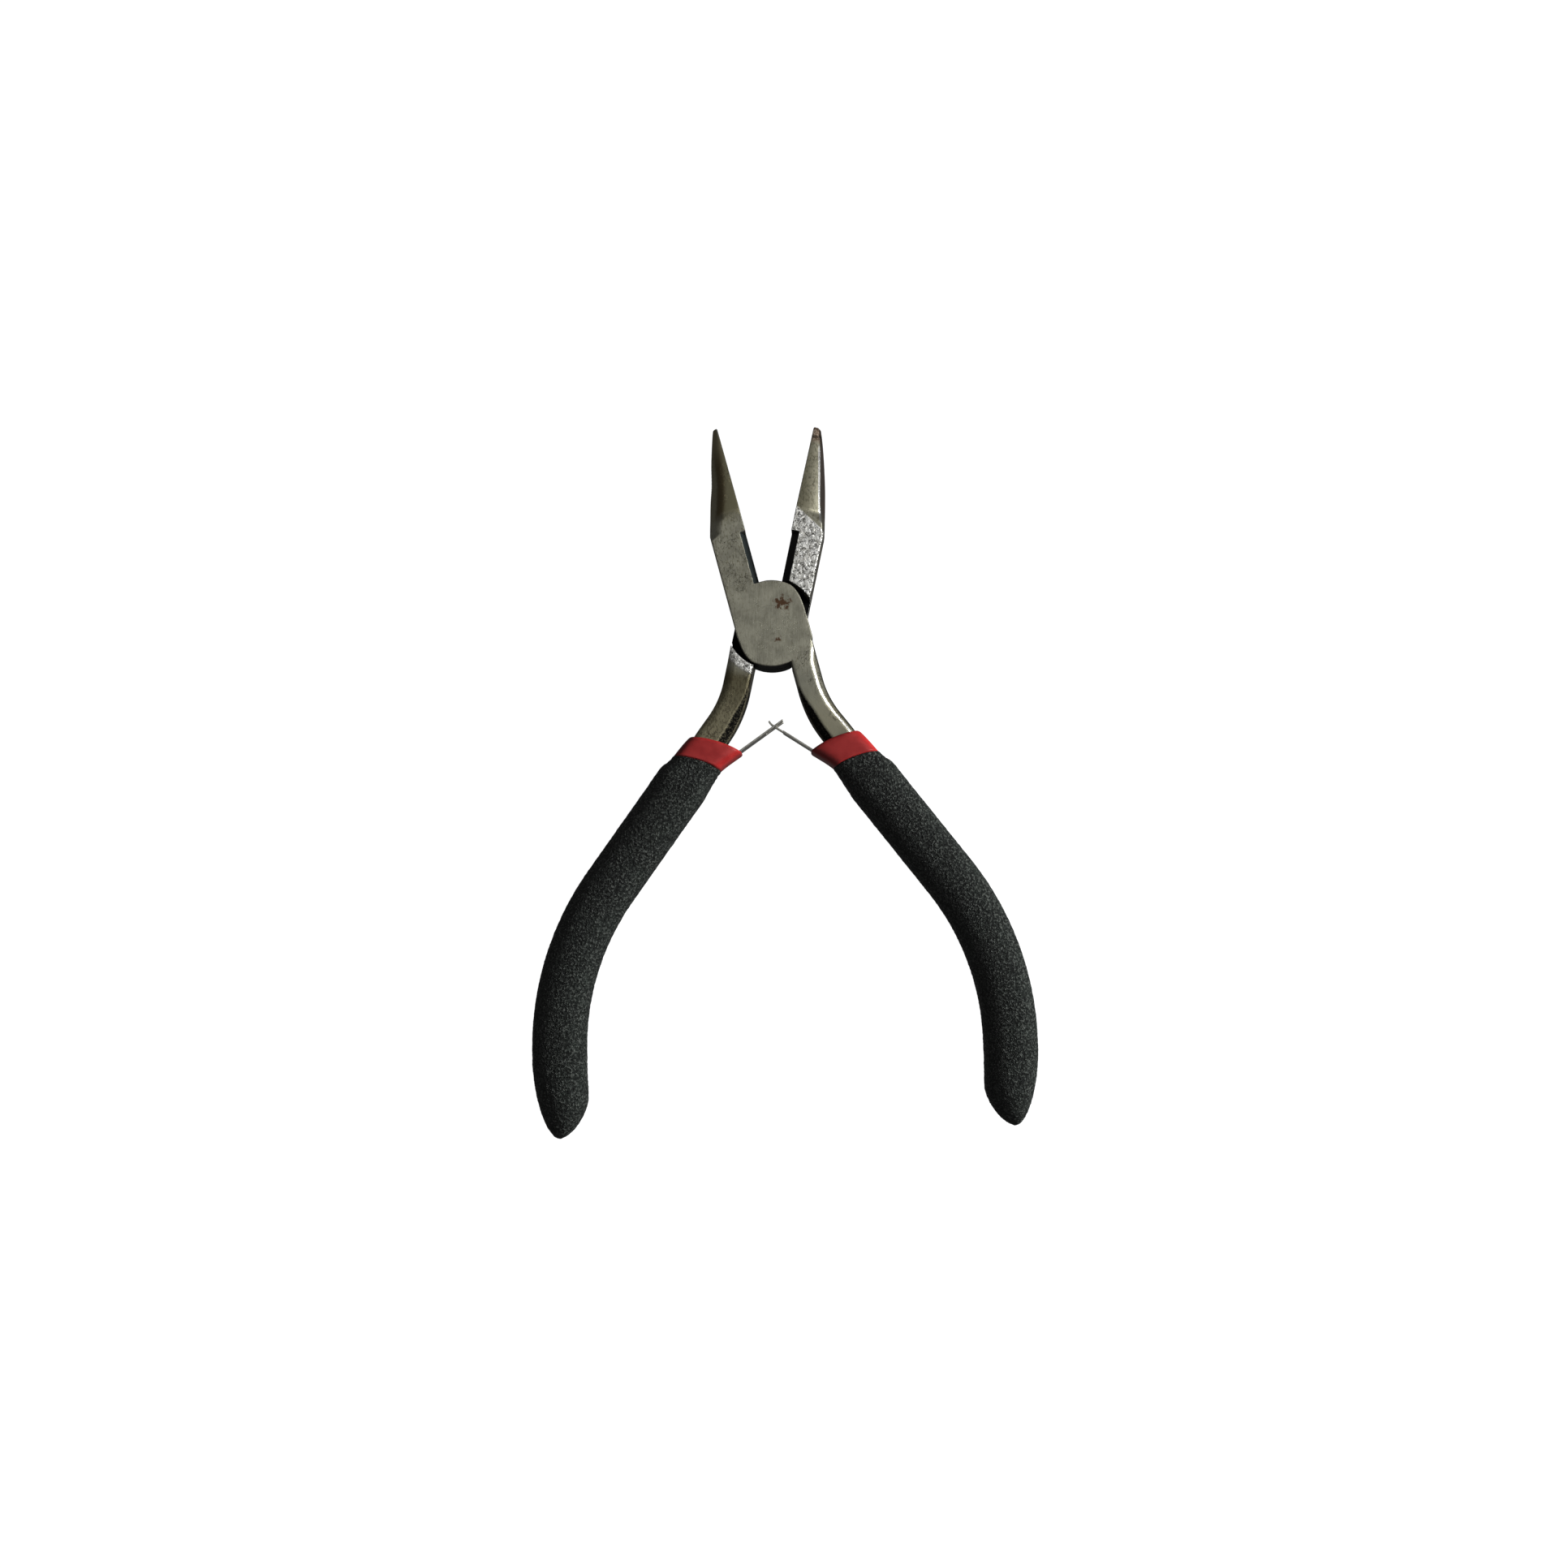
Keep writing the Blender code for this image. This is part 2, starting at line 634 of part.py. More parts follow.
def build():
    steel = make_material("forged_steel", (0.28, 0.28, 0.25), 0.42, 1.0)
    spring_steel = make_material("spring_steel", (0.42, 0.41, 0.37), 0.3, 1.0)
    red_pvc = make_material("red_pvc", (0.26, 0.016, 0.02), 0.3, 0.0)
    black_foam = make_material("black_foam", (0.018, 0.02, 0.019), 0.85, 0.0)

    half_turn = Matrix.Translation((0, 0, JOINT_THICKNESS * MM)) @ Matrix.Rotation(math.pi, 4, "Y")
    places = {
        "front": Matrix.Rotation(HALF_OPEN, 4, "Z"),
        "back": Matrix.Rotation(-HALF_OPEN, 4, "Z") @ half_turn,
    }
    hinge = leaf_hinge()
    sleeve = loft(*sleeve_rings())
    grip = loft(*grip_rings())
    for side, hand in (("front", "right"), ("back", "left")):
        half = add_empty(f"{side}_half", None, places[side])
        at_hinge = Matrix.Translation((hinge.x * MM, hinge.y * MM, 0))
        leaf_half = add_empty(f"leaf_{hand}", half, at_hinge)
        add_lever(f"{side}_lever", side, half, steel)
        if side == "front":
            turned("pivot_rivet", rivet_profile(), half, steel)
        add_object(f"sleeve_{hand}", sleeve.copy(), half, red_pvc)
        add_object(f"grip_{hand}", grip.copy(), half, black_foam)
        add_spring(side, hand, half, leaf_half, spring_steel)
    sleeve.free()
    grip.free()


build()
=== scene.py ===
"""Looks of the mini long-nose pliers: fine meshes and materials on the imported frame.

All sizes are in millimetres in the drawing of one half, shut, as in the CAD: the jaw lies at x < 0
with its gripping face on x = 0, the handle at x > 0, and depth is measured from the joint's middle.
Metres are used only when a mesh is made.
"""

import math
from types import SimpleNamespace

import bmesh
import bpy
import numpy as np
from mathutils import Matrix, Vector, noise


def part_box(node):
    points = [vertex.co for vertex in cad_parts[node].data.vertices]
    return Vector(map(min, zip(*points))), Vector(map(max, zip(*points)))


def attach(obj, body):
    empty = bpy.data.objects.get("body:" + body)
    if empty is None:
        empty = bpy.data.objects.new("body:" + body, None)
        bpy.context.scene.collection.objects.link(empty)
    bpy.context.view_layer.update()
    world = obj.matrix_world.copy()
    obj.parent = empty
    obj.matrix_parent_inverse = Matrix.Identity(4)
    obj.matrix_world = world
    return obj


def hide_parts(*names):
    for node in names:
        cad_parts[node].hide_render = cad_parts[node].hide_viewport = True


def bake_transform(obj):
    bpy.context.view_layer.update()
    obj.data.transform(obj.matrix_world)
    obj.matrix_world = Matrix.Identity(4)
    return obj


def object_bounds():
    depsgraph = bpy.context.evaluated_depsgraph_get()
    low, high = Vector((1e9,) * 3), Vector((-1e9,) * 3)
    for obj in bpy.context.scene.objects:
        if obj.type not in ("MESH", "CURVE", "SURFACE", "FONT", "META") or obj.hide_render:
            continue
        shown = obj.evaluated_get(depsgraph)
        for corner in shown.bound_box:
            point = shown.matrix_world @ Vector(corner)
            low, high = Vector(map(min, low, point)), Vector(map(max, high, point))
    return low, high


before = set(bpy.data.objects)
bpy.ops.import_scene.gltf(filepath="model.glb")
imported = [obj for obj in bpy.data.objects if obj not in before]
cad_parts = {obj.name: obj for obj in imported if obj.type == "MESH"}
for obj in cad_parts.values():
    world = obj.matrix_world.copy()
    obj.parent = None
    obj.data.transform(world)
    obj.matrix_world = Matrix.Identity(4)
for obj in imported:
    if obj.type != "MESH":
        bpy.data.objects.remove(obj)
cad_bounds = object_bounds()

MM = 0.001

# ---- driving dimensions
LEVER_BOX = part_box("front_lever")
JOINT_THICKNESS = (LEVER_BOX[1][2] - LEVER_BOX[0][2]) / MM
MID_DEPTH = JOINT_THICKNESS / 2
OPEN_ANGLE = 26.8
HALF_OPEN = math.radians(OPEN_ANGLE / 2)

LAP_GAP = 0.1
BOSS_RADIUS = 7.6
BOSS_HALF_WIDTH = 6.35
BOSS_CORNER = 1.6
POCKET_RADIUS = BOSS_RADIUS + 0.4
RIVET_RADIUS = 2.0
RIVET_HEAD_RADIUS = 2.9
RIVET_HEAD_DEPTH = 1.2
RIVET_CLEARANCE = 0.05

JAW_LENGTH = {"front": 36.85, "back": 36.45}
JAW_WIDTH = {"front": 6.4, "back": 5.8}
JAW_TIP_WIDTH = {"front": 0.9, "back": 1.5}
JAW_TIP_HALF_DEPTH = 1.2
JAW_BULGE = {"front": 0.1, "back": 0.3}
JAW_FACE_GAP = 0.1
NOSE_START = 17.0
NOSE_FULL_ROUND = 21.2
FACET_FROM = 16.5
FACET_ANGLE = {"front": math.radians(29.0), "back": math.radians(19.0)}
FACET_WIDTH = {"front": (1.3, 1.8, 0.5), "back": (0.3, 0.85, 0.5)}
FACET_EDGE = {"front": 0.8, "back": 0.12}
NOSE_FLATNESS = 0.33
EDGE_RADIUS = 0.22
BOSS_EDGE_RADIUS = 0.16
POCKET_EDGE_RADIUS = 0.06
NOTCH_EDGE_RADIUS = 0.05

CUTTER_WIDTH = {"front": 1.0, "back": 1.4}
CUTTER_LENGTH = 9.4
CUTTER_EDGE = 0.3

SHANK_X = 3.45
SHANK_TOP = -4.6
SHANK_STRAIGHT = 7.2
NECK_RADIUS = 19.4
NECK_TURN = math.radians(23.3)
HANDLE_STRAIGHT = 33.8
BOW_RADIUS = 47.7
BOW_TURN = math.radians(38.9)
HANDLE_END_STRAIGHT = 13.0
COLLAR_AT = 17.8
SHANK_HALF_WIDTH = (1.95, 2.7)
SHANK_WIDENS_FROM = -11.0
SHANK_BEVEL_LEAN = math.radians(52.0)
COLLAR_HALF_WIDTH = (2.45, 2.85)
COLLAR_HALF_DEPTH = 3.5
TANG_INNER = 1.75
TANG_OUTER = 2.2
TANG_HALF_DEPTH = 2.9
TANG_TAPER_LENGTH = 10.0
TANG_CLEAR_OF_END = 9.5
FINE_END = 12.0

FIT_GAP = 0.2
SLEEVE_WALL = 0.7
SLEEVE_LIP_WALL = 0.4
SLEEVE_RIM_WALL = 0.35
SLEEVE_CLEAR_OF_END = 5.0
SLEEVE_TOP = 0.64
SLEEVE_SKEW = {"front": 15.0, "back": 18.0}
COLLAR_HEIGHT = {"front": 4.65, "back": 4.3}
COLLAR_FLARE = 1.08
RIM_BOW = 0.55
GRIP_WALL = 1.35
GRIP_RIM_WALL = 0.45
GRIP_RIM_SKEW = 17.7
GRIP_RIM_LENGTH = 5.0
GRIP_RIM_SQUARENESS = 3.5
GRIP_END_LENGTH = 14.0
GRIP_INNER_END_LENGTH = 6.5
GRIP_END_DEPTH_LENGTH = 8.5
GRIP_GRAIN = 0.07
GRIP_END_BULGE = 0.045
GRIP_TIP_SHIFT = 0.8
SLEEVE_SQUARENESS = 5.5
GRIP_SQUARENESS = 2.6

SPRING_THICKNESS = 0.3
SPRING_WIDTH = 4.0
LEAF_EXIT = (-0.9, 5.0)
LEAF_REST_ANGLE = math.radians(34.2)
LEAF_LENGTH = 9.6
FORK_START = 5.9
FORK_SLOT = 2.0
TONGUE_START = 6.1
TONGUE_WIDTH = 1.3
TONGUE_LENGTH = 8.2
TONGUE_CURL = (1.1, math.radians(14.0))
ROOT_END = 11.0
ROOT_LIFTS_FROM = 5.0

RUST_STAINS = ((2.2, 3.4, 1.5), (1.3, -3.0, 0.75))
CAMERA_ROLL = math.radians(1.77)

VOXEL = 0.145
RING_POINTS = 144

ROUTE_PIECES = (
    (SHANK_STRAIGHT, 0.0),
    (NECK_RADIUS * NECK_TURN, NECK_TURN),
    (HANDLE_STRAIGHT, 0.0),
    (BOW_RADIUS * BOW_TURN, -BOW_TURN),
    (HANDLE_END_STRAIGHT, 0.0),
)
HANDLE_END = sum(length for length, _ in ROUTE_PIECES) - COLLAR_AT

HALF_TURN = Matrix.Translation((0, 0, JOINT_THICKNESS)) @ Matrix.Rotation(math.pi, 4, "Y")
PLACES = {
    "front": Matrix.Rotation(HALF_OPEN, 4, "Z"),
    "back": Matrix.Rotation(-HALF_OPEN, 4, "Z") @ HALF_TURN,
}


# ---- small helpers
def smoothstep(value, low, high):
    t = np.clip((np.asarray(value, dtype=float) - low) / (high - low), 0.0, 1.0)
    return t * t * (3 - 2 * t)


def mix(a, b, t):
    return a + (b - a) * t


def round_and(a, b, radius):
    """The distance to what lies inside both shapes, its edge rounded."""
    over = np.hypot(np.maximum(a + radius, 0), np.maximum(b + radius, 0))
    return np.minimum(np.maximum(a, b), -radius) + over


def place(points, side):
    """Drawing points in millimetres to the frame's metres, at rest."""
    matrix = np.array(PLACES[side])
    return (points @ matrix[:3, :3].T + matrix[:3, 3]) * MM


def linked_object(name, data):
    """An object that holds the data, linked to the scene."""
    obj = bpy.data.objects.new(name, data)
    bpy.context.scene.collection.objects.link(obj)
    return obj


def new_object(name, vertices, faces, normals=None, attributes=None):
    """A smooth mesh object from arrays; each row of faces is a quad."""
    mesh = bpy.data.meshes.new(name)
    count = len(faces)
    mesh.vertices.add(len(vertices))
    mesh.vertices.foreach_set("co", np.asarray(vertices, dtype=np.float32).ravel())
    mesh.loops.add(count * 4)
    mesh.loops.foreach_set("vertex_index", np.asarray(faces, dtype=np.int32).ravel())
    mesh.polygons.add(count)
    mesh.polygons.foreach_set("loop_start", np.arange(0, count * 4, 4, dtype=np.int32))
    mesh.update(calc_edges=True)
    mesh.validate()
    mesh.shade_smooth()
    for key, values in (attributes or {}).items():
        mesh.attributes.new(key, "FLOAT", "POINT").data.foreach_set("value", values.astype(np.float32))
    if normals is not None:
        mesh.normals_split_custom_set_from_vertices([tuple(n) for n in normals])
    return linked_object(name, mesh)


def ring_faces(rings, points, start=0):
    """Quads between successive closed rings of vertices."""
    i = np.arange(rings - 1)[:, None] * points
    j = np.arange(points)[None, :]
    k = (j + 1) % points
    return np.stack([i + j, i + k, i + points + k, i + points + j], axis=-1).reshape(-1, 4) + start


# ---- the handle's centreline
def route(along):
    """(point, direction, outward normal) at a distance along the handle, measured from its collar."""
    distance = along + COLLAR_AT
    point = np.array([SHANK_X, SHANK_TOP])
    heading = 0.0
    for index, (length, turn) in enumerate(ROUTE_PIECES):
        last = index == len(ROUTE_PIECES) - 1
        step = distance if last else max(min(distance, length), min(distance, 0.0))
        swept = turn * step / length
        chord = step if not turn else step * math.sin(swept / 2) / (swept / 2) if swept else 0.0
        middle = heading + swept / 2
        point = point + chord * np.array([math.sin(middle), -math.cos(middle)])
        heading += swept
        distance -= step
        if distance <= 0:
            break
    direction = np.array([math.sin(heading), -math.cos(heading)])
    outward = np.array([math.cos(heading), math.sin(heading)])
    return point, direction, outward


def handle_coordinates(x, y):
    """(along, offset) of points beside the shank and the top of the tang."""
    centre = (SHANK_X + NECK_RADIUS, SHANK_TOP - SHANK_STRAIGHT)
    start, direction, outward = route(SHANK_STRAIGHT + NECK_RADIUS * NECK_TURN - COLLAR_AT)
    along = SHANK_TOP - y
    offset = x - SHANK_X
    heading = np.arctan2(centre[1] - y, centre[0] - x)
    radius = np.hypot(centre[0] - x, centre[1] - y)
    on_arc = (along > SHANK_STRAIGHT) & (heading < NECK_TURN)
    beyond = (along > SHANK_STRAIGHT) & (heading >= NECK_TURN)
    along = np.where(on_arc, SHANK_STRAIGHT + NECK_RADIUS * heading, along)
    offset = np.where(on_arc, NECK_RADIUS - radius, offset)
    ahead = (x - start[0]) * direction[0] + (y - start[1]) * direction[1]
    aside = (x - start[0]) * outward[0] + (y - start[1]) * outward[1]
    along = np.where(beyond, SHANK_STRAIGHT + NECK_RADIUS * NECK_TURN + ahead, along)
    offset = np.where(beyond, aside, offset)
    return along - COLLAR_AT, offset


def tang_half_sizes(along):
    """(inner, outer, half depth) of the steel under the sleeve and above it."""
    grown = smoothstep(along, SHANK_WIDENS_FROM, 0.0)
    thinned = smoothstep(along, 0.0, TANG_TAPER_LENGTH)
    inner = mix(mix(SHANK_HALF_WIDTH[0], COLLAR_HALF_WIDTH[0], grown), TANG_INNER, thinned)
    outer = mix(mix(SHANK_HALF_WIDTH[1], COLLAR_HALF_WIDTH[1], grown), TANG_OUTER, thinned)
    half_depth = mix(mix(MID_DEPTH, COLLAR_HALF_DEPTH, grown), TANG_HALF_DEPTH, thinned)
    return inner, outer, half_depth


def shank_bevels(along):
    """Widths of the bevels on the inner and the outer side."""
    slimmed = 1 - 0.45 * smoothstep(along, 0.0, TANG_TAPER_LENGTH)
    inner = mix(0.25, 1.35, smoothstep(along, SHANK_WIDENS_FROM, -4.5)) * slimmed
    outer = mix(0.1, 1.1, smoothstep(along, -17.6, -13.5)) - 0.3 * smoothstep(along, -9.0, 0.0)
    outer = outer * slimmed
    return inner, outer


# ---- the levers as distance fields
def boss_distance(side, x, y, z):
    """Signed distance to the joint's plate: a disc with flats, straight where the jaw joins it."""
    disc = np.hypot(x, y) - BOSS_RADIUS
    flats = np.maximum(x - BOSS_HALF_WIDTH, -x - min(BOSS_HALF_WIDTH, JAW_WIDTH[side]))
    plan = np.where(x * y > 0, round_and(disc, flats, BOSS_CORNER), np.maximum(disc, flats))
    upper = round_and(plan, z - JOINT_THICKNESS, BOSS_EDGE_RADIUS)
    return np.maximum(upper, MID_DEPTH + LAP_GAP / 2 - z)


def jaw_section(side, y):
    """(reach, half depth, overshoot, corner across, corner deep, power) of the jaw's section."""
    length = JAW_LENGTH[side]
    rounded = smoothstep(y, NOSE_START, NOSE_FULL_ROUND)
    taper = np.clip((y - NOSE_START - 1.0) / (length - NOSE_START - 1.0), 0.0, 1.0)
    reach = mix(JAW_TIP_WIDTH[side], JAW_WIDTH[side], (1 - taper) ** 0.95)
    reach = reach + JAW_BULGE[side] * np.sin(math.pi * taper)
    narrow = np.clip((y - NOSE_FULL_ROUND) / (length - NOSE_FULL_ROUND), 0.0, 1.0)
    half_depth = mix(MID_DEPTH, JAW_TIP_HALF_DEPTH, narrow)
    beyond = NOSE_FLATNESS * reach * rounded
    corner_out = mix(0.3, reach + beyond - JAW_FACE_GAP - 0.05, rounded**2)
    corner_deep = mix(0.3, half_depth - 0.08, rounded)
    return reach, half_depth, beyond, corner_out, corner_deep, mix(2.0, 2.15, rounded)


def facet_width(side, y):
    """Width, seen from the front, of the flat ground along the outer side of the nose."""
    first, middle, last = FACET_WIDTH[side]
    run = np.clip((y - FACET_FROM) / (JAW_LENGTH[side] - FACET_FROM), 0.0, 1.0)
    return mix(mix(first, middle, smoothstep(run, 0.0, 0.35)), last, smoothstep(run, 0.45, 0.95))


def jaw_distance(side, x, y, w):
    """Signed distance to the jaw: square near the joint, a rounded and ground nose beyond."""
    out, deep = -x, np.abs(w)
    reach, half_depth, beyond, corner_out, corner_deep, power = jaw_section(side, y)
    across = (out - reach - beyond + corner_out) / corner_out
    up = (deep - half_depth + corner_deep) / corner_deep
    in_corner = (across > 0) & (up > 0)
    across, up = np.maximum(across, 0), np.maximum(up, 0)
    curve = (across**power + up**power) ** (1 / power) - 1
    # One distance for the corner and the flats beside it, scaled by the corner's local size.
    local = (corner_out * up + corner_deep * across) / (up + across + 1e-6)
    scale = np.minimum(local, np.minimum(corner_out, corner_deep) * 1.6)
    flat = np.maximum(out - reach - beyond, deep - half_depth)
    section = np.where(in_corner, curve * scale, flat)
    section = round_and(section, out - reach, mix(0.02, 0.3, smoothstep(y, NOSE_START, NOSE_FULL_ROUND)))
    # The flat ground along the outer side of the nose: a plane through its inner edge.
    angle = FACET_ANGLE[side]
    edge_out = reach - facet_width(side, y)
    edge_share = np.clip((edge_out - reach - beyond + corner_out) / corner_out, 0, 1)
    edge_deep = half_depth - corner_deep + corner_deep * (1 - edge_share**power) ** (1 / power)
    facet = (out - edge_out) * math.cos(angle) + (deep - edge_deep) * math.sin(angle)
    facet = facet - 3.0 * (1 - smoothstep(y, FACET_FROM - 0.8, FACET_FROM + 1.5))
    soft = mix(0.1, FACET_EDGE[side], smoothstep(deep / half_depth, 0.35, 0.7))
    section = round_and(section, facet, soft)
    section = round_and(section, np.where(y < 7.2, x - 1.5, x + JAW_FACE_GAP), 0.12)
    return np.maximum(round_and(section, y - JAW_LENGTH[side], 0.3), -1.0 - y)


def shank_distance(x, y, w):
    """Signed distance to the shank and the top of the tang, with bevels on both sides."""
    along, offset = handle_coordinates(x, y)
    inner, outer, half_depth = tang_half_sizes(along)
    inner_bevel, outer_bevel = shank_bevels(along)
    deep = np.abs(w)
    body = round_and(offset - outer, deep - half_depth, 0.1)
    body = round_and(body, -offset - inner, 0.1)
    slope, rise = math.cos(SHANK_BEVEL_LEAN), math.sin(SHANK_BEVEL_LEAN)
    outside = (offset - outer) * slope + (deep - half_depth) * rise + outer_bevel * slope
    inside = (-offset - inner + deep - half_depth + inner_bevel) * math.sqrt(0.5)
    body = round_and(body, outside, 1.5 * EDGE_RADIUS)
    body = round_and(body, inside, EDGE_RADIUS)
    return np.maximum(body, np.maximum(along - FINE_END, -COLLAR_AT - along))


def rivet_distance(radius, z, clearance):
    """Signed distance to the rivet's shaft and two countersunk heads, grown by the clearance."""
    shaft = radius - RIVET_RADIUS - clearance
    deep = np.abs(z - MID_DEPTH)
    slope = (RIVET_HEAD_RADIUS - RIVET_RADIUS) / RIVET_HEAD_DEPTH
    head = radius - RIVET_HEAD_RADIUS - clearance + (MID_DEPTH - deep) * slope
    return np.minimum(shaft, head / math.hypot(1, slope))


def lever_distance(side, points):
    """Signed distance to one whole lever, less its pocket, cutter's bevels and rivet hole."""
    x, y, z = points[..., 0], points[..., 1], points[..., 2]
    w = z - MID_DEPTH
    body = np.minimum(boss_distance(side, x, y, z), jaw_distance(side, x, y, w))
    body = np.minimum(body, shank_distance(x, y, w))
    pocket = np.maximum(np.hypot(x, y) - POCKET_RADIUS, z - MID_DEPTH - LAP_GAP / 2)
    body = round_and(body, -pocket, POCKET_EDGE_RADIUS)
    width = CUTTER_WIDTH[side]
    start = math.sqrt(BOSS_RADIUS**2 - (width + JAW_FACE_GAP) ** 2) + 0.02
    rise, run = MID_DEPTH - CUTTER_EDGE / 2, width
    bevel = (-x - JAW_FACE_GAP) * rise - (np.abs(w) - CUTTER_EDGE / 2) * run
    bevel = bevel / math.hypot(rise, run)
    notch = np.maximum(bevel, np.maximum(y - start - CUTTER_LENGTH, start - y))
    body = round_and(body, -notch, NOTCH_EDGE_RADIUS)
    return np.maximum(body, -rivet_distance(np.hypot(x, y), z, RIVET_CLEARANCE))


def net(distance, low, high, step):
    """Vertices and quads of the surface where a distance field is zero."""
    low, high = np.array(low, dtype=float), np.array(high, dtype=float)
    counts = np.ceil((high - low) / step).astype(int) + 1
    axes = [low[a] + step * np.arange(counts[a]) for a in range(3)]
    field = np.empty(counts, dtype=np.float32)
    slab = 24
    for first in range(0, counts[0], slab):
        block = np.stack(np.meshgrid(axes[0][first : first + slab], axes[1], axes[2], indexing="ij"), -1)
        field[first : first + slab] = distance(block)
    inside = field < 0
    cells = counts - 1

    def corner(array, i, j, k):
        return array[i : i + cells[0], j : j + cells[1], k : k + cells[2]]

    offsets = [(i, j, k) for i in (0, 1) for j in (0, 1) for k in (0, 1)]
    total = sum(corner(inside, *o).astype(np.int8) for o in offsets)
    active = (total > 0) & (total < 8)
    where = np.argwhere(active)
    index = np.full(cells, -1, dtype=np.int32)
    index[active] = np.arange(len(where))
    values = {o: field[where[:, 0] + o[0], where[:, 1] + o[1], where[:, 2] + o[2]] for o in offsets}
    summed = np.zeros((len(where), 3))
    hits = np.zeros(len(where))
    for a in offsets:
        for axis in range(3):
            if a[axis]:
                continue
            b = tuple(1 if n == axis else a[n] for n in range(3))
            crossing = (values[a] < 0) != (values[b] < 0)
            gap = np.where(crossing, values[a] - values[b], 1.0)
            t = values[a] / gap
            for n in range(3):
                summed[:, n] += crossing * (a[n] + (t if n == axis else 0.0))
            hits += crossing
    vertices = low + step * (where + summed / hits[:, None])
    faces = []
    for axis in range(3):
        others = [n for n in range(3) if n != axis]
        start = [slice(0, counts[n] - 1) if n == axis else slice(1, counts[n] - 1) for n in range(3)]
        end = [slice(1, counts[n]) if n == axis else slice(1, counts[n] - 1) for n in range(3)]
        a, b = inside[tuple(start)], inside[tuple(end)]
        edge = np.argwhere(a != b)
        leaving = a[tuple(edge.T)]
        base = edge.copy()
        for n in others:
            base[:, n] += 1
        quad = []
        for p, q in ((-1, -1), (0, -1), (0, 0), (-1, 0)):
            cell = base.copy()
            cell[:, others[0]] += p
            cell[:, others[1]] += q
            quad.append(index[tuple(cell.T)])
        quad = np.stack(quad, axis=-1)
        flip = leaving if axis == 1 else ~leaving
        quad[flip] = quad[flip][:, ::-1]
        faces.append(quad)
    return vertices, np.concatenate(faces)


def gradient(distance, points, reach):
    """Slope of a distance field at the points, from differences over the reach either way."""
    result = np.empty_like(points)
    for axis in range(3):
        shift = np.zeros(3)
        shift[axis] = reach
        result[:, axis] = (distance(points + shift) - distance(points - shift)) / (2 * reach)
    return result


def settle(distance, vertices):
    """Moves net vertices onto the true surface and gives the surface's normals there."""
    for _ in range(4):
        slope = gradient(distance, vertices, 0.01)
        square = np.maximum((slope**2).sum(axis=1), 0.05)
        move = -distance(vertices)[:, None] * slope / square[:, None]
        length = np.linalg.norm(move, axis=1, keepdims=True)
        vertices = vertices + move * np.minimum(1.0, 0.5 * VOXEL / np.maximum(length, 1e-9))
    normals = gradient(distance, vertices, 0.03)
    normals /= np.maximum(np.linalg.norm(normals, axis=1, keepdims=True), 1e-9)
    return vertices, normals


def tang_loft(first_vertex):
    """The tang inside the sleeve, from just above the fine mesh's end to its blunt tip."""
    rings = []
    end = HANDLE_END - TANG_CLEAR_OF_END
    for along in np.concatenate([np.linspace(FINE_END - 1.0, end - 1.0, 24), [end]]):
        inner, outer, half_depth = (float(size) for size in tang_half_sizes(along))
        shrink = 0.6 if along == end else 0.995
        inner_bevel, outer_bevel = shank_bevels(along)
        point, _, outward = route(along)
        inner, outer, half_depth = inner * shrink, outer * shrink, half_depth * shrink
        upper = [
            (outer, half_depth - outer_bevel),
            (outer - outer_bevel, half_depth),
            (inner_bevel - inner, half_depth),
            (-inner, half_depth - inner_bevel),
        ]
        section = upper + [(offset, -depth) for offset, depth in reversed(upper)]
        rings.append([(*(point + offset * outward), MID_DEPTH + depth) for offset, depth in section])
    rings = np.array(rings, dtype=float)
    count = rings.shape[1]
    faces = ring_faces(len(rings), count)[:, ::-1]
    caps = []
    for ring, order in ((0, 1), (len(rings) - 1, -1)):
        base = ring * count
        for a, b in ((0, 7), (1, 6), (2, 5)):
            cap = [base + a, base + a + 1, base + b - 1, base + b]
            caps.append(cap[::order])
    return rings.reshape(-1, 3), np.concatenate([faces, np.array(caps)]) + first_vertex


def lever_masks(side, points, normals):
    """Fields that the steel's material reads: signed distances in millimetres, and 0 to 1 shares."""
    x, y, z = points.T
    w = z - MID_DEPTH
    radius = np.hypot(x, y)
    along, offset = handle_coordinates(x, y)
    depth_in = MID_DEPTH - np.abs(w)
    pocket = np.minimum(POCKET_RADIUS + 0.04 - radius, MID_DEPTH + 0.15 - z)
    rim = np.minimum(0.12 - np.abs(radius - BOSS_RADIUS), JOINT_THICKNESS - 0.2 - z)
    rim = np.minimum(rim, 6.2 - np.abs(x))
    recess = np.maximum(pocket, rim)
    start = math.sqrt(BOSS_RADIUS**2 - CUTTER_WIDTH[side] ** 2)
    across = np.minimum(y - start + 0.5, start + CUTTER_LENGTH + 0.06 - y)
    on_bevel = np.minimum(CUTTER_WIDTH[side] + JAW_FACE_GAP + 0.25 + x, 6.0 * (depth_in - 0.03))
    cutter = np.minimum(np.minimum(across, on_bevel), 1.0)
    probe_reach = 0.15

    def probe(sign):
        moved = lever_distance(side, points + sign * probe_reach * normals)
        return np.clip(1 - sign * moved / probe_reach, 0, 1)

    reach = jaw_section(side, y)[0]
    outer, outer_bevel = tang_half_sizes(along)[1], shank_bevels(along)[1]
    on_shank = (y < SHANK_TOP) & (x > 0)
    return {
        "recess": recess,
        "cutter": cutter,
        "convex": probe(-1.0),
        "hollow": probe(1.0),
        "jaw_y": y,
        "jaw_share": np.clip(-x / reach, -1, 2),
        "ridge": -x - reach + facet_width(side, y),
        "from_pivot": radius,
        "outer_edge": np.where(on_shank & (depth_in < 2.0), offset - outer + outer_bevel, -5.0),
        "along": np.where(on_shank, along, -30.0),
        "ground": 0.6 - depth_in,
        "inner_bevel": inner_bevel_mask(along, offset, w, y),
    }


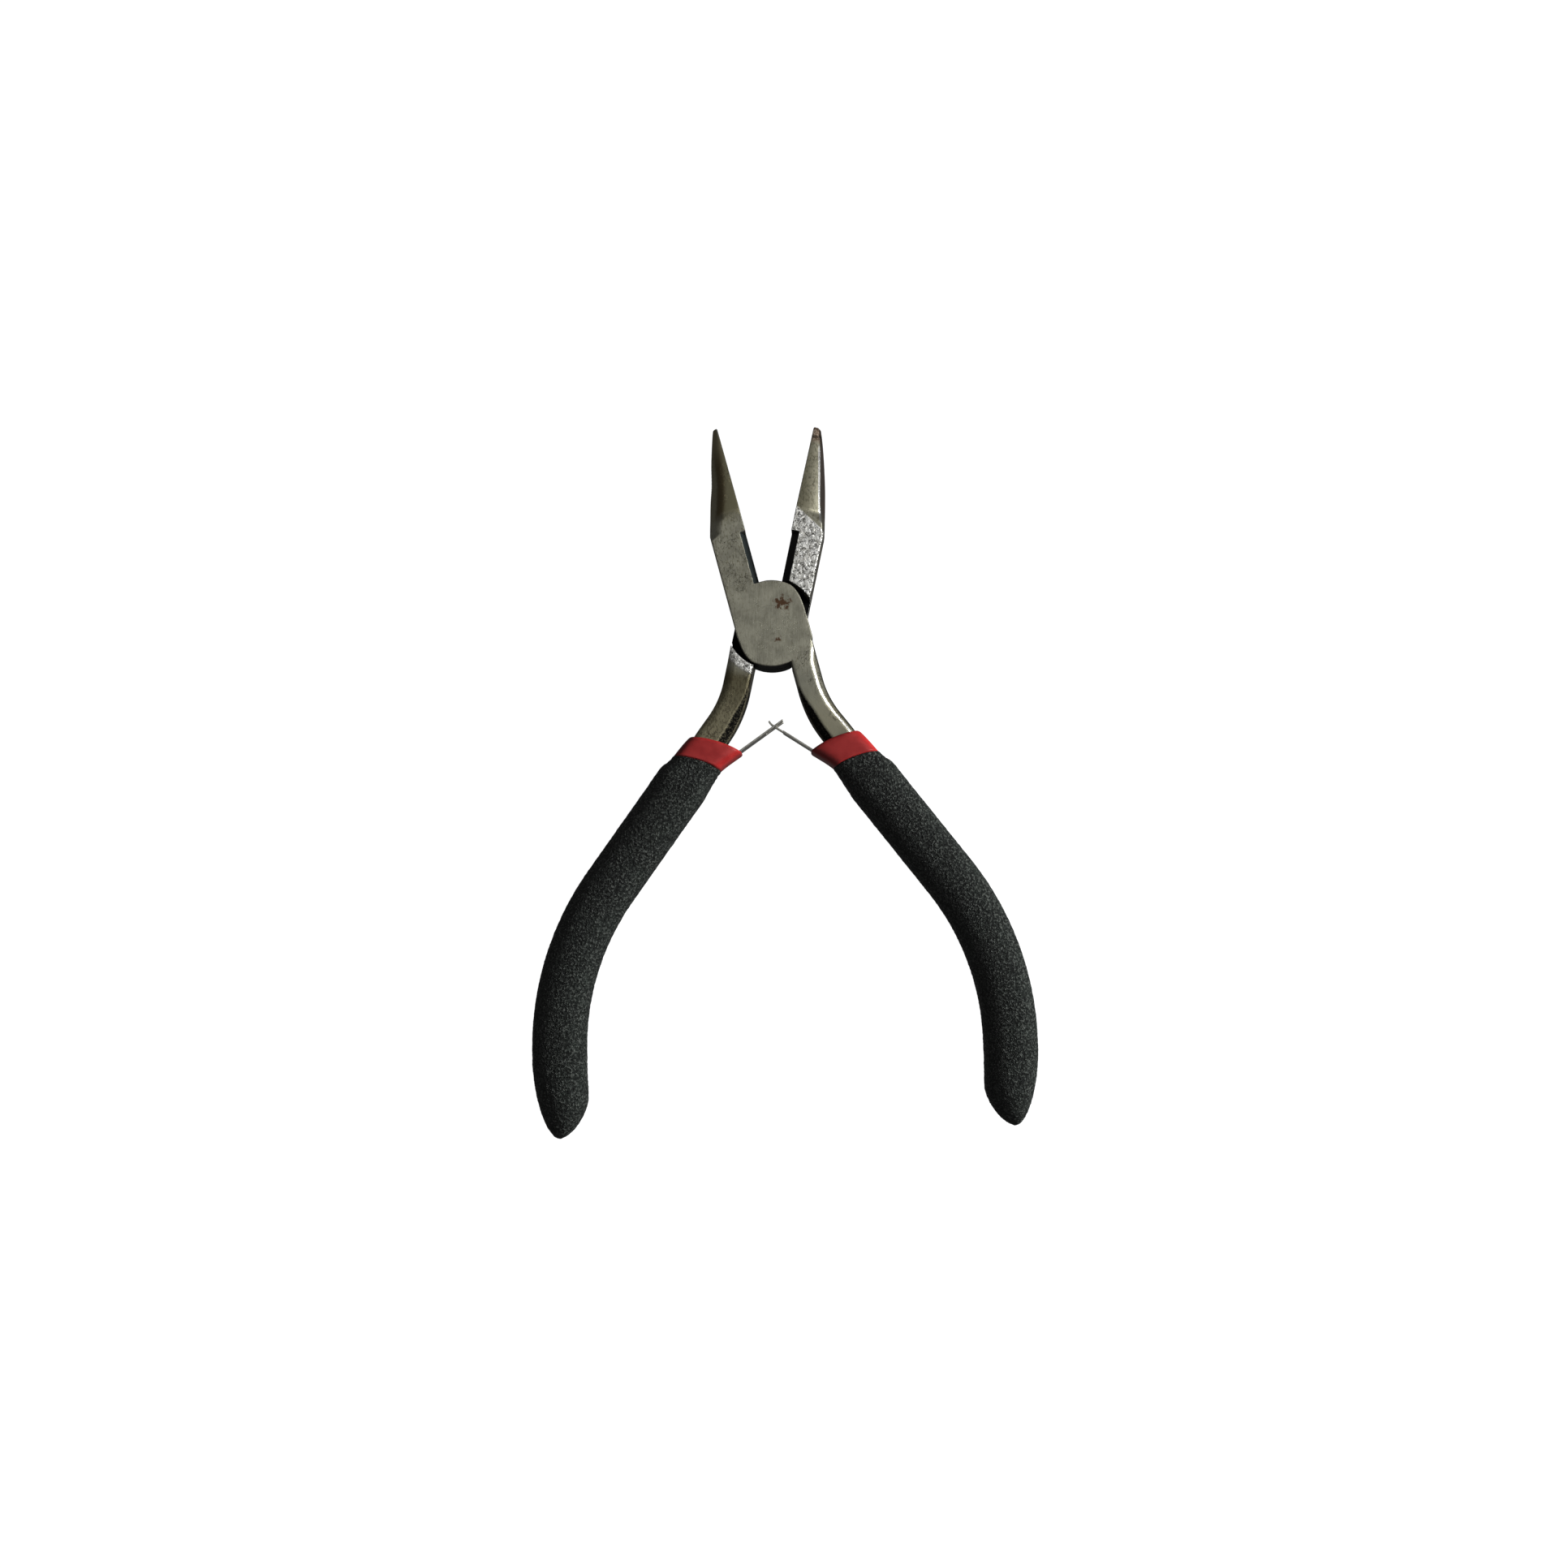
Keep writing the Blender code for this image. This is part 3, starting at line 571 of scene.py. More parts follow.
def inner_bevel_mask(along, offset, w, y):
    """Distance inside the wide bevel on the shank's inner side, and the side wall it leaves."""
    inner, _, half_depth = tang_half_sizes(along)
    bevel, _ = shank_bevels(along)
    inside = (-offset - inner + np.abs(w) - half_depth + bevel) * math.sqrt(0.5)
    side_wall = -offset - inner
    reach = np.maximum(inside + 0.12, side_wall + 0.1) * 4.0
    return np.where(y < SHANK_TOP, np.minimum(np.minimum(reach, along + 10.5), 1.0), -2.0)


def make_lever(name, side):
    """One forged lever: a fine skin down to the sleeve, and a plain tang inside it."""
    def distance(points):
        return lever_distance(side, points)

    low = (-JAW_WIDTH[side] - 1.0, -35.0, -3 * VOXEL)
    high = (15.0, JAW_LENGTH[side] + 0.5, JOINT_THICKNESS + 3 * VOXEL)
    vertices, faces = net(distance, low, high, VOXEL)
    vertices, normals = settle(distance, vertices)
    masks = lever_masks(side, vertices, normals)
    extra, extra_faces = tang_loft(len(vertices))
    extra_normals = np.empty_like(extra)
    for ring in range(0, len(extra), 8):
        ring_middle = extra[ring : ring + 8].mean(axis=0)
        extra_normals[ring : ring + 8] = extra[ring : ring + 8] - ring_middle
    extra_normals /= np.linalg.norm(extra_normals, axis=1, keepdims=True)
    for key in masks:
        filler = {"along": 20.0, "from_pivot": 40.0}.get(key, -2.0)
        masks[key] = np.concatenate([masks[key], np.full(len(extra), filler)])
    matrix = np.array(PLACES[side])
    all_points = place(np.concatenate([vertices, extra]), side)
    all_normals = np.concatenate([normals, extra_normals]) @ matrix[:3, :3].T
    return new_object(name, all_points, np.concatenate([faces, extra_faces]), all_normals, masks)


# ---- rivet
def make_rivet():
    """The countersunk rivet, ground flush: a turned profile with its rim just eased over the bore."""
    half = MID_DEPTH + 0.006
    head = RIVET_HEAD_RADIUS + RIVET_CLEARANCE + 0.06
    profile = [(0.0, half), (1.2, half), (head - 0.12, half), (head - 0.03, half - 0.002)]
    profile += [(head, half - 0.005), (RIVET_HEAD_RADIUS - 0.01, half - 0.03)]
    profile += [(RIVET_RADIUS, half - RIVET_HEAD_DEPTH), (RIVET_RADIUS, 0.4)]
    profile += [(radius, -depth) for radius, depth in reversed(profile)]
    steps = 128
    bm = bmesh.new()
    rings = []
    for radius, depth in profile:
        count = 1 if radius == 0 else steps
        rings.append([
            bm.verts.new((
                MM * radius * math.cos(2 * math.pi * i / steps),
                MM * radius * math.sin(2 * math.pi * i / steps),
                MM * (MID_DEPTH + depth),
            ))
            for i in range(count)
        ])
    for ring, following in zip(rings, rings[1:]):
        for i in range(steps):
            j = (i + 1) % steps
            corners = [ring[i % len(ring)], ring[j % len(ring)]]
            corners += [following[j % len(following)], following[i % len(following)]]
            kept = [v for n, v in enumerate(corners) if v not in corners[:n]]
            if len(kept) > 2:
                bm.faces.new(kept[::-1])
    mesh = bpy.data.meshes.new("rivet_flush_head")
    bmesh.ops.recalc_face_normals(bm, faces=bm.faces)
    bm.to_mesh(mesh)
    bm.free()
    mesh.shade_smooth()
    mesh.set_sharp_from_angle(angle=math.radians(30))
    for key in ("recess", "cutter", "inner_bevel", "along", "ridge", "outer_edge"):
        mesh.attributes.new(key, "FLOAT", "POINT").data.foreach_set("value", [-30.0] * len(mesh.vertices))
    return linked_object("rivet_flush_head", mesh)


# ---- sleeves and grips
def oval(inner, outer, half_depth, power):
    """A rounded section: (offset, depth) points round it; power 2 is an ellipse."""
    centre, half = (outer - inner) / 2, (outer + inner) / 2
    angle = 2 * math.pi * np.arange(RING_POINTS) / RING_POINTS
    c, s = np.cos(angle), np.sin(angle)
    grow = (np.abs(c) ** power + np.abs(s) ** power) ** (-1 / power)
    return centre + half * c * grow, half_depth * s * grow


def root_offset(along):
    """How far the middle of the spring's root lies inside the handle's centreline."""
    on_tang = tang_half_sizes(along)[0] + FIT_GAP + SPRING_THICKNESS / 2
    lifted = max(ROOT_LIFTS_FROM - along, 0.0) / (ROOT_LIFTS_FROM - LEAF_EXIT[0])
    exit_on_tang = tang_half_sizes(LEAF_EXIT[0])[0] + FIT_GAP + SPRING_THICKNESS / 2
    return float(on_tang + (LEAF_EXIT[1] - exit_on_tang) * lifted**1.5)


def layer(along, outside=0.0):
    """Section sizes of a cavity round tang and spring, and with outside, of a skin over it."""
    inner, outer, half_depth = (float(size) for size in tang_half_sizes(along))
    inner = max(inner, root_offset(along) + SPRING_THICKNESS / 2)
    return inner + FIT_GAP + outside, outer + FIT_GAP + outside, half_depth + FIT_GAP + outside


def section_ring(along, sizes, power, skew=0.0, bow=0.0):
    """A ring across the handle; a skewed one runs lower on its outer side, a bowed one higher midway."""
    offset, depth = oval(*sizes, power)
    point, direction, outward = route(along)
    middle, half = (sizes[1] - sizes[0]) / 2, (sizes[1] + sizes[0]) / 2
    lean = math.tan(math.radians(skew)) * offset
    lean -= bow * (1 - ((offset - middle) / half) ** 2)
    flat = point[None, :] + offset[:, None] * outward[None, :] + lean[:, None] * direction[None, :]
    return np.column_stack([flat, MID_DEPTH + depth])


def rim_ring(along, outside, skew, power, inner_outside=None, bow=0.0):
    """A slanted ring whose inner side reads its sizes where that side really lies."""
    lean = math.tan(math.radians(skew))
    over_inner = outside if inner_outside is None else inner_outside
    inner = layer(along - layer(along)[0] * lean, over_inner)[0]
    _, outer, half_depth = layer(along, outside)
    return section_ring(along, (inner, outer, half_depth), power, skew, bow)


def closing_rings(end, outside, power, start, steps, tip=0.22):
    """Rings that round off a closed end."""
    rings = []
    for angle in np.linspace(0.0, math.pi / 2, steps):
        before = start * (1 - math.sin(angle))
        share = tip + (1 - tip) * math.cos(angle) ** 0.75
        sizes = [share * size for size in layer(end - before, outside)]
        rings.append(section_ring(end - before, sizes, power))
    return rings


def sleeve_rings(side):
    """The sleeve's skin from its cavity's rim over the rounded lip and down to its closed end."""
    rings = []
    height = COLLAR_HEIGHT[side]
    lip_height = 0.5
    quarter = np.linspace(0, math.pi / 2, 10)
    profile = [(0.9, 0.0), (0.35, 0.03), (0.12, 0.12), (0.03, 0.27)]
    profile += [(lip_height * (1 - math.cos(a)), 0.45 + 0.55 * math.sin(a)) for a in quarter]
    profile += [(down, 1.0) for down in np.linspace(lip_height + 0.25, height - 0.08, 12)]
    for down, share in profile + [(height, 0.7), (height + 0.3, 0.68)]:
        lower = min(down / height, 1)
        skew = mix(SLEEVE_SKEW[side], GRIP_RIM_SKEW, lower)
        outer_wall = mix(SLEEVE_RIM_WALL, COLLAR_FLARE, lower**0.8) * share
        inner_wall = mix(SLEEVE_LIP_WALL, COLLAR_FLARE, lower**0.8) * share
        bow = mix(RIM_BOW, 0.8 * RIM_BOW, lower)
        rings.append(rim_ring(SLEEVE_TOP + down, outer_wall, skew, SLEEVE_SQUARENESS, inner_wall, bow))
    start = SLEEVE_TOP + height + 3.6
    end = HANDLE_END - SLEEVE_CLEAR_OF_END
    for along in np.linspace(start, end - 3.4, 40):
        rings.append(section_ring(along, layer(along, SLEEVE_WALL), SLEEVE_SQUARENESS))
    return rings + closing_rings(end, SLEEVE_WALL, SLEEVE_SQUARENESS, 3.2, 8)


def grip_rings(side):
    """The grip's skin from inside its rim over the soft rounded edge and down to its closed end."""
    rings = []
    rim = SLEEVE_TOP + COLLAR_HEIGHT[side]
    over_sleeve = SLEEVE_WALL + FIT_GAP
    bow = 0.8 * RIM_BOW
    rolled = [(1.6, 0.0), (0.5, 0.02), (0.16, 0.12), (0.03, 0.35)]
    quarter = np.linspace(0, math.pi / 2, 8)
    rolled += [(0.75 * (1 - math.cos(a)), 0.55 + 0.45 * math.sin(a)) for a in quarter]
    for down, share in rolled:
        wall = over_sleeve + GRIP_RIM_WALL * share
        rings.append(rim_ring(rim + down, wall, GRIP_RIM_SKEW, GRIP_RIM_SQUARENESS, None, bow))
    straight = rim + 3.2
    fine = 0.3
    last = HANDLE_END - GRIP_END_LENGTH
    count = int((last - rim - 1.2) / fine)
    for along in np.linspace(rim + 1.2, last, count):
        easing = 1 - float(smoothstep(along, rim + 0.8, straight + 1.0))
        thickened = float(smoothstep(along, rim, rim + GRIP_RIM_LENGTH))
        rounded = float(smoothstep(along, rim, rim + 2 * GRIP_RIM_LENGTH))
        wall = over_sleeve + mix(GRIP_RIM_WALL, GRIP_WALL, thickened)
        power = mix(GRIP_RIM_SQUARENESS, GRIP_SQUARENESS, rounded)
        rings.append(rim_ring(along, wall, GRIP_RIM_SKEW * easing, power, None, bow * easing))
    return rings + grip_end_rings(over_sleeve + GRIP_WALL)


def end_share(before, length, sweep, roundness):
    """Share of the full half-width that is left this far before the grip's tip."""
    left = 1 - (1 - min(before / length, 1)) ** sweep
    return left ** (1 / roundness)


def grip_end_rings(outside):
    """The grip's end: its outer side sweeps in slowly, its inner side bulges and turns in late."""
    rings = []
    least = 0.01
    for angle in np.linspace(0.0, math.pi / 2, 72)[1:]:
        before = GRIP_END_LENGTH * (1 - math.sin(angle))
        inner, outer, half_depth = layer(HANDLE_END - before, outside)
        centre, half = (outer - inner) / 2, (outer + inner) / 2
        bulge = 1 + GRIP_END_BULGE * (1 - float(smoothstep(before, GRIP_INNER_END_LENGTH, 13.0)))
        centre += GRIP_TIP_SHIFT * (1 - before / GRIP_END_LENGTH)
        inner = half * bulge * end_share(before, GRIP_INNER_END_LENGTH, 1.6, 1.6) - centre + least
        outer = half * end_share(before, GRIP_END_LENGTH, 1.7, 1.8) + centre + least
        half_depth = half_depth * end_share(before, GRIP_END_DEPTH_LENGTH, 2.0, 1.8) + least
        power = mix(2.0, GRIP_SQUARENESS, before / GRIP_END_LENGTH)
        rings.append(section_ring(HANDLE_END - before, (inner, outer, half_depth), power))
    return rings


def closed_tube(name, rings, side, roughen=0.0):
    """A skin through the rings, closed at its far end; its near end lies inside the rim."""
    rings = np.array(rings)
    count = rings.shape[1]
    points = rings.reshape(-1, 3)
    if roughen:
        grain = np.array([
            noise.noise(Vector(p * 1.9)) + 0.7 * noise.noise(Vector(p * 3.9 + 7.1)) for p in points
        ])
        ahead = np.roll(rings, -1, axis=1) - np.roll(rings, 1, axis=1)
        down = np.gradient(rings, axis=0)
        normal = np.cross(down, ahead).reshape(-1, 3)
        normal /= np.maximum(np.linalg.norm(normal, axis=1, keepdims=True), 1e-9)
        outward = points - np.repeat(rings.mean(axis=1), count, axis=0)
        facing = np.sign((normal * outward).sum(axis=1, keepdims=True))
        settled = np.clip(np.repeat(np.arange(len(rings)), count) / 10.0, 0, 1)
        points = points + normal * facing * (roughen * grain * settled)[:, None]
    faces = ring_faces(len(rings), count)
    tip = points[-count:].mean(axis=0)
    points = np.concatenate([points, [tip]])
    base = (len(rings) - 1) * count
    pairs = np.arange(0, count, 2)
    hub = np.full(len(pairs), len(points) - 1)
    fan = [base + pairs, base + (pairs + 1) % count, base + (pairs + 2) % count, hub]
    fan = np.stack(fan, axis=-1)
    faces = np.concatenate([faces, fan])
    obj = new_object(name, place(points, side), faces)
    bm = bmesh.new()
    bm.from_mesh(obj.data)
    bmesh.ops.recalc_face_normals(bm, faces=bm.faces)
    bm.to_mesh(obj.data)
    bm.free()
    obj.data.shade_smooth()
    return obj


# ---- springs
def leaf_direction():
    angle = math.pi - LEAF_REST_ANGLE - HALF_OPEN
    return np.array([math.cos(angle), math.sin(angle)])


def leaf_sizes(side):
    """(length, where the fork or tongue starts, half its width) of the side's leaf."""
    if side == "back":
        return LEAF_LENGTH, FORK_START, FORK_SLOT / 2
    return TONGUE_LENGTH, TONGUE_START, TONGUE_WIDTH / 2


def strip_path(side):
    """The strip's middle line, and how far past its hinge each of its points lies."""
    root = []
    for along in np.linspace(ROOT_END, LEAF_EXIT[0], 40):
        point, _, outward = route(along)
        root.append(point - root_offset(along) * outward)
    hinge = root[-1]
    ahead = leaf_direction()
    across = np.array([ahead[1], -ahead[0]])
    reach, split, _ = leaf_sizes(side)
    stations = sorted(set(np.round(np.concatenate([np.linspace(0.3, reach, 40), [split]]), 4)))
    path = root + [hinge + ahead * station for station in stations]
    reached = [-1.0] * len(root) + list(stations)
    if side == "front":
        length, bend = TONGUE_CURL
        point = path[-1]
        for step in range(1, 7):
            turned = bend * min(step / 3, 1.6)
            point = point + length / 6 * (ahead * math.cos(turned) + across * math.sin(turned))
            path.append(point)
            reached.append(reach + length * step / 6)
    return path, reached, hinge, hinge + ahead


def strip_mesh(name, side, path, reached):
    """The strip as a ribbon standing on edge, its free end cut to a fork or a tongue."""
    _, split, half = leaf_sizes(side)
    forked = side == "back"
    edge = SPRING_WIDTH / 2
    lines = [-edge, -edge + 0.3, -half, 0.0, half, edge - 0.3, edge]
    bm = bmesh.new()
    grid = []
    for point in path:
        grid.append([bm.verts.new((point[0], point[1], MID_DEPTH + w)) for w in lines])
    for n in range(len(path) - 1):
        beyond = reached[n] >= split - 1e-4
        for k in range(len(lines) - 1):
            in_middle = abs(lines[k] + lines[k + 1]) / 2 < half
            if not beyond or in_middle != forked:
                bm.faces.new((grid[n][k], grid[n][k + 1], grid[n + 1][k + 1], grid[n + 1][k]))
    loose = [v for v in bm.verts if not v.link_faces]
    bmesh.ops.delete(bm, geom=loose, context="VERTS")
    for vert in bm.verts:
        vert.co = (PLACES[side] @ vert.co) * MM
    mesh = bpy.data.meshes.new(name)
    bm.to_mesh(mesh)
    bm.free()
    return mesh


def thicken(obj):
    """Gives the ribbon its thickness and eased edges, as plain geometry."""
    solidify = obj.modifiers.new("thickness", "SOLIDIFY")
    solidify.thickness = SPRING_THICKNESS * MM
    solidify.offset = 0
    solidify.use_even_offset = True
    bevel = obj.modifiers.new("eased edges", "BEVEL")
    bevel.width = 0.05 * MM
    bevel.segments = 2
    bevel.limit_method = "ANGLE"
    bevel.angle_limit = math.radians(50)
    graph = bpy.context.evaluated_depsgraph_get()
    finished = bpy.data.meshes.new_from_object(obj.evaluated_get(graph))
    obj.modifiers.clear()
    obj.data = finished
    finished.shade_smooth()
    finished.set_sharp_from_angle(angle=math.radians(40))


def make_spring(name, side):
    """One strip from its root on the tang out of the sleeve's lip to its fork or tongue."""
    path, reached, hinge, ahead = strip_path(side)
    obj = linked_object(name, strip_mesh(name, side, path, reached))
    thicken(obj)
    ends = place(np.array([[*hinge, MID_DEPTH], [*ahead, MID_DEPTH]]), side)
    return obj, ends[0], ends[1]


# ---- materials
class Shader:
    """A material whose nodes are added one line each; inputs are values or (node, output) links."""

    def __init__(self, name):
        self.material = bpy.data.materials.new(name)
        self.material.use_nodes = True
        self.tree = self.material.node_tree
        self.surface = self.tree.nodes["Principled BSDF"]

    def link(self, node, key, value):
        socket = node.inputs[key]
        if isinstance(value, bpy.types.NodeSocket):
            self.tree.links.new(value, socket)
        elif socket.type == "RGBA" and len(value) == 3:
            socket.default_value = (*value, 1.0)
        else:
            socket.default_value = value

    def add(self, kind, inputs=None, **settings):
        node = self.tree.nodes.new(kind)
        for key, value in settings.items():
            setattr(node, key, value)
        for key, value in (inputs or {}).items():
            self.link(node, key, value)
        return node

    def place(self):
        """Where the surface is, in millimetres of the frame at rest."""
        spot = self.add("ShaderNodeTexCoord").outputs["Object"]
        node = self.add("ShaderNodeVectorMath", {0: spot, "Scale": 1 / MM}, operation="SCALE")
        return node.outputs[0]

    def stretched(self, vector, turn, scale):
        node = self.add("ShaderNodeMapping", {"Vector": vector, "Rotation": (0, 0, turn), "Scale": scale})
        return node.outputs[0]

    def noise(self, vector, scale, detail=3.0, rough=0.55):
        inputs = {"Vector": vector, "Scale": scale, "Detail": detail, "Roughness": rough}
        return self.add("ShaderNodeTexNoise", inputs).outputs["Fac"]

    def cells(self, vector, scale):
        return self.add("ShaderNodeTexVoronoi", {"Vector": vector, "Scale": scale}).outputs["Distance"]

    def math(self, operation, a, b=0.0):
        return self.add("ShaderNodeMath", {0: a, 1: b}, operation=operation).outputs[0]

    def plus(self, a, b):
        return self.math("ADD", a, b)

    def minus(self, a, b):
        return self.math("SUBTRACT", a, b)

    def times(self, a, b):
        return self.math("MULTIPLY", a, b)

    def most(self, a, b):
        return self.math("MAXIMUM", a, b)

    def size(self, a):
        return self.math("ABSOLUTE", a)

    def swing(self, noise_value, size):
        """A noise moved to lie either side of zero and scaled."""
        return self.times(self.minus(noise_value, 0.5), size)

    def ramp(self, value, low, high, start=0.0, end=1.0):
        inputs = {"Value": value, "From Min": low, "From Max": high, "To Min": start, "To Max": end}
        node = self.add("ShaderNodeMapRange", inputs, clamp=True, interpolation_type="SMOOTHSTEP")
        return node.outputs[0]

    def mix(self, share, a, b):
        node = self.add("ShaderNodeMix", {}, data_type="RGBA")
        self.link(node, 0, share)
        self.link(node, 6, a)
        self.link(node, 7, b)
        return node.outputs[2]

    def mix_value(self, share, a, b):
        node = self.add("ShaderNodeMix", {}, data_type="FLOAT")
        self.link(node, 0, share)
        self.link(node, 2, a)
        self.link(node, 3, b)
        return node.outputs[0]

    def field(self, name):
        return self.add("ShaderNodeAttribute", {}, attribute_name=name).outputs["Fac"]

    def bump(self, height, strength, distance):
        inputs = {"Height": height, "Strength": strength, "Distance": distance * MM}
        return self.add("ShaderNodeBump", inputs).outputs["Normal"]

    def finish(self, **inputs):
        for key, value in inputs.items():
            self.link(self.surface, key.replace("_", " "), value)
        return self.material


def steel_fields(s, side):
    """The noises and measures that several parts of the steel share."""
    spot = s.place()
    patches = s.noise(spot, 0.35, 4.0, 0.6)
    ragged = s.swing(patches, 3.0)
    jaw_y = s.field("jaw_y")
    return SimpleNamespace(
        spot=spot,
        scratches=s.noise(s.stretched(spot, 0.02, (9.0, 0.35, 1.0)), 1.0, 4.0, 0.7),
        patches=patches,
        grain=s.noise(spot, 3.2, 3.0, 0.6),
        flecks=s.noise(s.stretched(spot, 0.0, (3.4, 1.5, 2.0)), 1.0, 3.0, 0.65),
        deep_pits=s.noise(spot, 1.7, 2.0, 0.5),
        ragged=ragged,
        from_pivot=s.field("from_pivot"),
        jaw_y=jaw_y,
        ridge=s.field("ridge"),
        along=s.field("along"),
        on_nose=s.ramp(s.plus(jaw_y, ragged), 18.5, 22.0),
        from_tip=s.minus(JAW_LENGTH[side], s.plus(jaw_y, s.times(ragged, 0.4))),
    )


def ground_steel(s, n):
    """Ground faces: fine scratches along the tool, over a patchy olive grey with dark flecks."""
    colour = s.mix(s.ramp(n.patches, 0.35, 0.7), (0.31, 0.3, 0.235), (0.39, 0.38, 0.3))
    colour = s.mix(s.ramp(n.scratches, 0.35, 0.75, 0.0, 0.35), colour, (0.6, 0.59, 0.49))
    off_boss = s.ramp(n.from_pivot, BOSS_RADIUS - 1.2, BOSS_RADIUS + 0.3, 0.35, 1.0)
    dark_flecks = s.times(s.ramp(n.flecks, 0.5, 0.34, 0.0, 0.6), off_boss)
    return s.mix(dark_flecks, colour, (0.13, 0.12, 0.075))


def nose_skin(s, n, side, colour):
    """The noses' browner, darker skin. The front nose's dark brown band along the ridge of the ground
    flat is painted shade; the back nose is painted lighter towards that ridge, a painted sheen, and
    browner on its ground flat.
    """
    wavy = s.plus(n.ridge, s.swing(n.grain, 0.9))
    if side == "front":
        # Painted shade: a dark brown band along the front nose's ridge, on the side turned away from the
        # light.
        band = s.times(s.ramp(wavy, -1.5, -0.5), s.ramp(wavy, 0.9, 0.2))
        nose = s.mix(band, (0.3, 0.275, 0.17), (0.13, 0.1, 0.05))
        nose = s.mix(s.ramp(wavy, 0.4, 1.1), nose, (0.3, 0.28, 0.19))
        colour = s.mix(s.times(n.on_nose, 0.92), colour, nose)
        return s.mix(s.ramp(n.from_tip, 8.0, 2.0, 0.0, 0.8), colour, (0.3, 0.275, 0.18))
    # Painted sheen: the back nose's colour grows lighter towards its ridge.
    nose = s.mix(s.ramp(wavy, -3.2, -0.4), (0.24, 0.225, 0.155), (0.33, 0.315, 0.235))
    nose = s.mix(s.ramp(n.flecks, 0.52, 0.4, 0.0, 0.6), nose, (0.11, 0.1, 0.06))
    nose = s.mix(s.ramp(n.ridge, -0.02, 0.06), nose, (0.3, 0.24, 0.2))
    colour = s.mix(s.times(n.on_nose, 0.92), colour, nose)
    rusty = s.mix(s.ramp(n.grain, 0.42, 0.58), (0.14, 0.07, 0.04), (0.5, 0.4, 0.32))
    colour = s.mix(s.ramp(n.from_tip, 3.4, 2.0, 0.0, 0.8), colour, rusty)
    ring = s.times(s.ramp(n.from_tip, 1.4, 1.7), s.ramp(n.from_tip, 2.3, 1.9))
    return s.mix(s.times(ring, 0.8), colour, (0.03, 0.02, 0.013))


def shank_skin(s, n, side, colour):
    """The skin of the shank below the joint."""
    on_shank = s.ramp(s.plus(n.along, n.ragged), -14.5, -11.5)
    if side == "front":
        shank = s.mix(s.ramp(n.along, -12.0, -3.0), (0.3, 0.295, 0.235), (0.29, 0.275, 0.2))
    else:
        shank = s.mix(s.ramp(n.along, -12.0, -4.0), (0.12, 0.105, 0.055), (0.32, 0.29, 0.185))
        shank = s.mix(s.ramp(n.flecks, 0.52, 0.4, 0.0, 0.6), shank, (0.07, 0.055, 0.03))
    return s.mix(s.times(on_shank, 0.9), colour, shank)


def silver_mask(s, n):
    """Where the back half's skin was ground away: on its jaw and at the top of its shank."""
    slant = s.plus(n.jaw_y, s.times(s.field("jaw_share"), 3.6))
    jaw_patch = s.times(s.ramp(slant, 21.6, 21.2), s.ramp(n.jaw_y, 5.0, 6.5))
    from_pivot = s.plus(n.from_pivot, s.times(n.ragged, 0.15))
    shank_patch = s.times(s.ramp(from_pivot, 9.8, 9.4), s.ramp(n.jaw_y, 0.0, -1.0))
    return s.times(s.most(jaw_patch, shank_patch), s.ramp(s.field("ground"), -0.1, 0.2))


def damage_mask(s, n, silver):
    """Pits and crooked little creases, and winding pits in the silver patches."""
    turned = s.stretched(n.spot, 0.3, (1.0, 1.0, 1.0))
    pits = s.plus(s.cells(turned, 1.25), s.swing(n.grain, 0.35))
    creases = s.size(s.minus(s.noise(n.spot, 0.95, 5.0, 0.62), 0.5))
    marks = s.most(s.ramp(pits, 0.13, 0.05), s.ramp(creases, 0.014, 0.004))
    damage = s.times(marks, s.ramp(s.noise(n.spot, 0.28, 2.0), 0.5, 0.62))
    less_on_boss = s.ramp(n.from_pivot, BOSS_RADIUS - 2.0, BOSS_RADIUS + 0.5, 0.25, 1.0)
    damage = s.times(damage, less_on_boss)
    if silver is None:
        return damage
    winding = s.size(s.minus(n.deep_pits, 0.46))
    in_clusters = s.ramp(s.noise(n.spot, 1.1, 1.0), 0.42, 0.5)
    winding = s.times(s.ramp(winding, 0.05, 0.025), in_clusters)
    return s.most(damage, s.times(winding, silver))


def rust_mask(s, n):
    """Two small stains on the front plate's face."""
    stains = []
    for x, y, size in RUST_STAINS:
        inputs = {0: n.spot, 1: (x, y, JOINT_THICKNESS)}
        away = s.add("ShaderNodeVectorMath", inputs, operation="DISTANCE").outputs["Value"]
        torn = s.plus(away, s.swing(s.noise(n.spot, 1.1, 5.0, 0.7), 4.2 * size))
        stains.append(s.ramp(torn, size * 0.9, size * 0.35))
    return s.most(*stains)


def wear_and_highlight_mask(s, n, side):
    """Edges painted bright: all sharp ones, as wear and partly as painted highlight, and painted
    highlight lines on the back nose's ridge and the front shank's outer bevel.
    """
    wear_and_highlight = s.ramp(s.field("convex"), 0.1, 0.45)
    if side == "back":
        # Painted highlight: a bright line along the back nose's ridge.
        line = s.times(s.ramp(s.size(s.plus(n.ridge, 0.2)), 0.26, 0.16), n.on_nose)
        return s.most(wear_and_highlight, s.times(line, s.ramp(n.from_tip, 3.0, 4.5)))
    # Painted highlight: a bright line along the front shank's outer bevel.
    painted_bevel_highlight = s.plus(s.field("outer_edge"), s.swing(n.flecks, 0.3))
    painted_bevel_highlight = s.times(s.ramp(s.size(painted_bevel_highlight), 0.2, 0.1), s.ramp(n.along, -16.6, -15.8))
    return s.most(wear_and_highlight, s.times(painted_bevel_highlight, 0.9))


def painted_shade_masks(s, n):
    """Painted shade: black in the joint's recesses, on the cutter's bevel and on the shank's inner bevel.
    """
    uneven = s.swing(n.grain, 0.25)
    recess = s.ramp(s.plus(s.field("recess"), uneven), -0.02, 0.06)
    cutter = s.ramp(s.plus(s.field("cutter"), uneven), 0.0, 0.06)
    bevel = s.ramp(s.plus(s.field("inner_bevel"), s.times(uneven, 3.0)), 0.0, 0.5)
    return recess, cutter, bevel


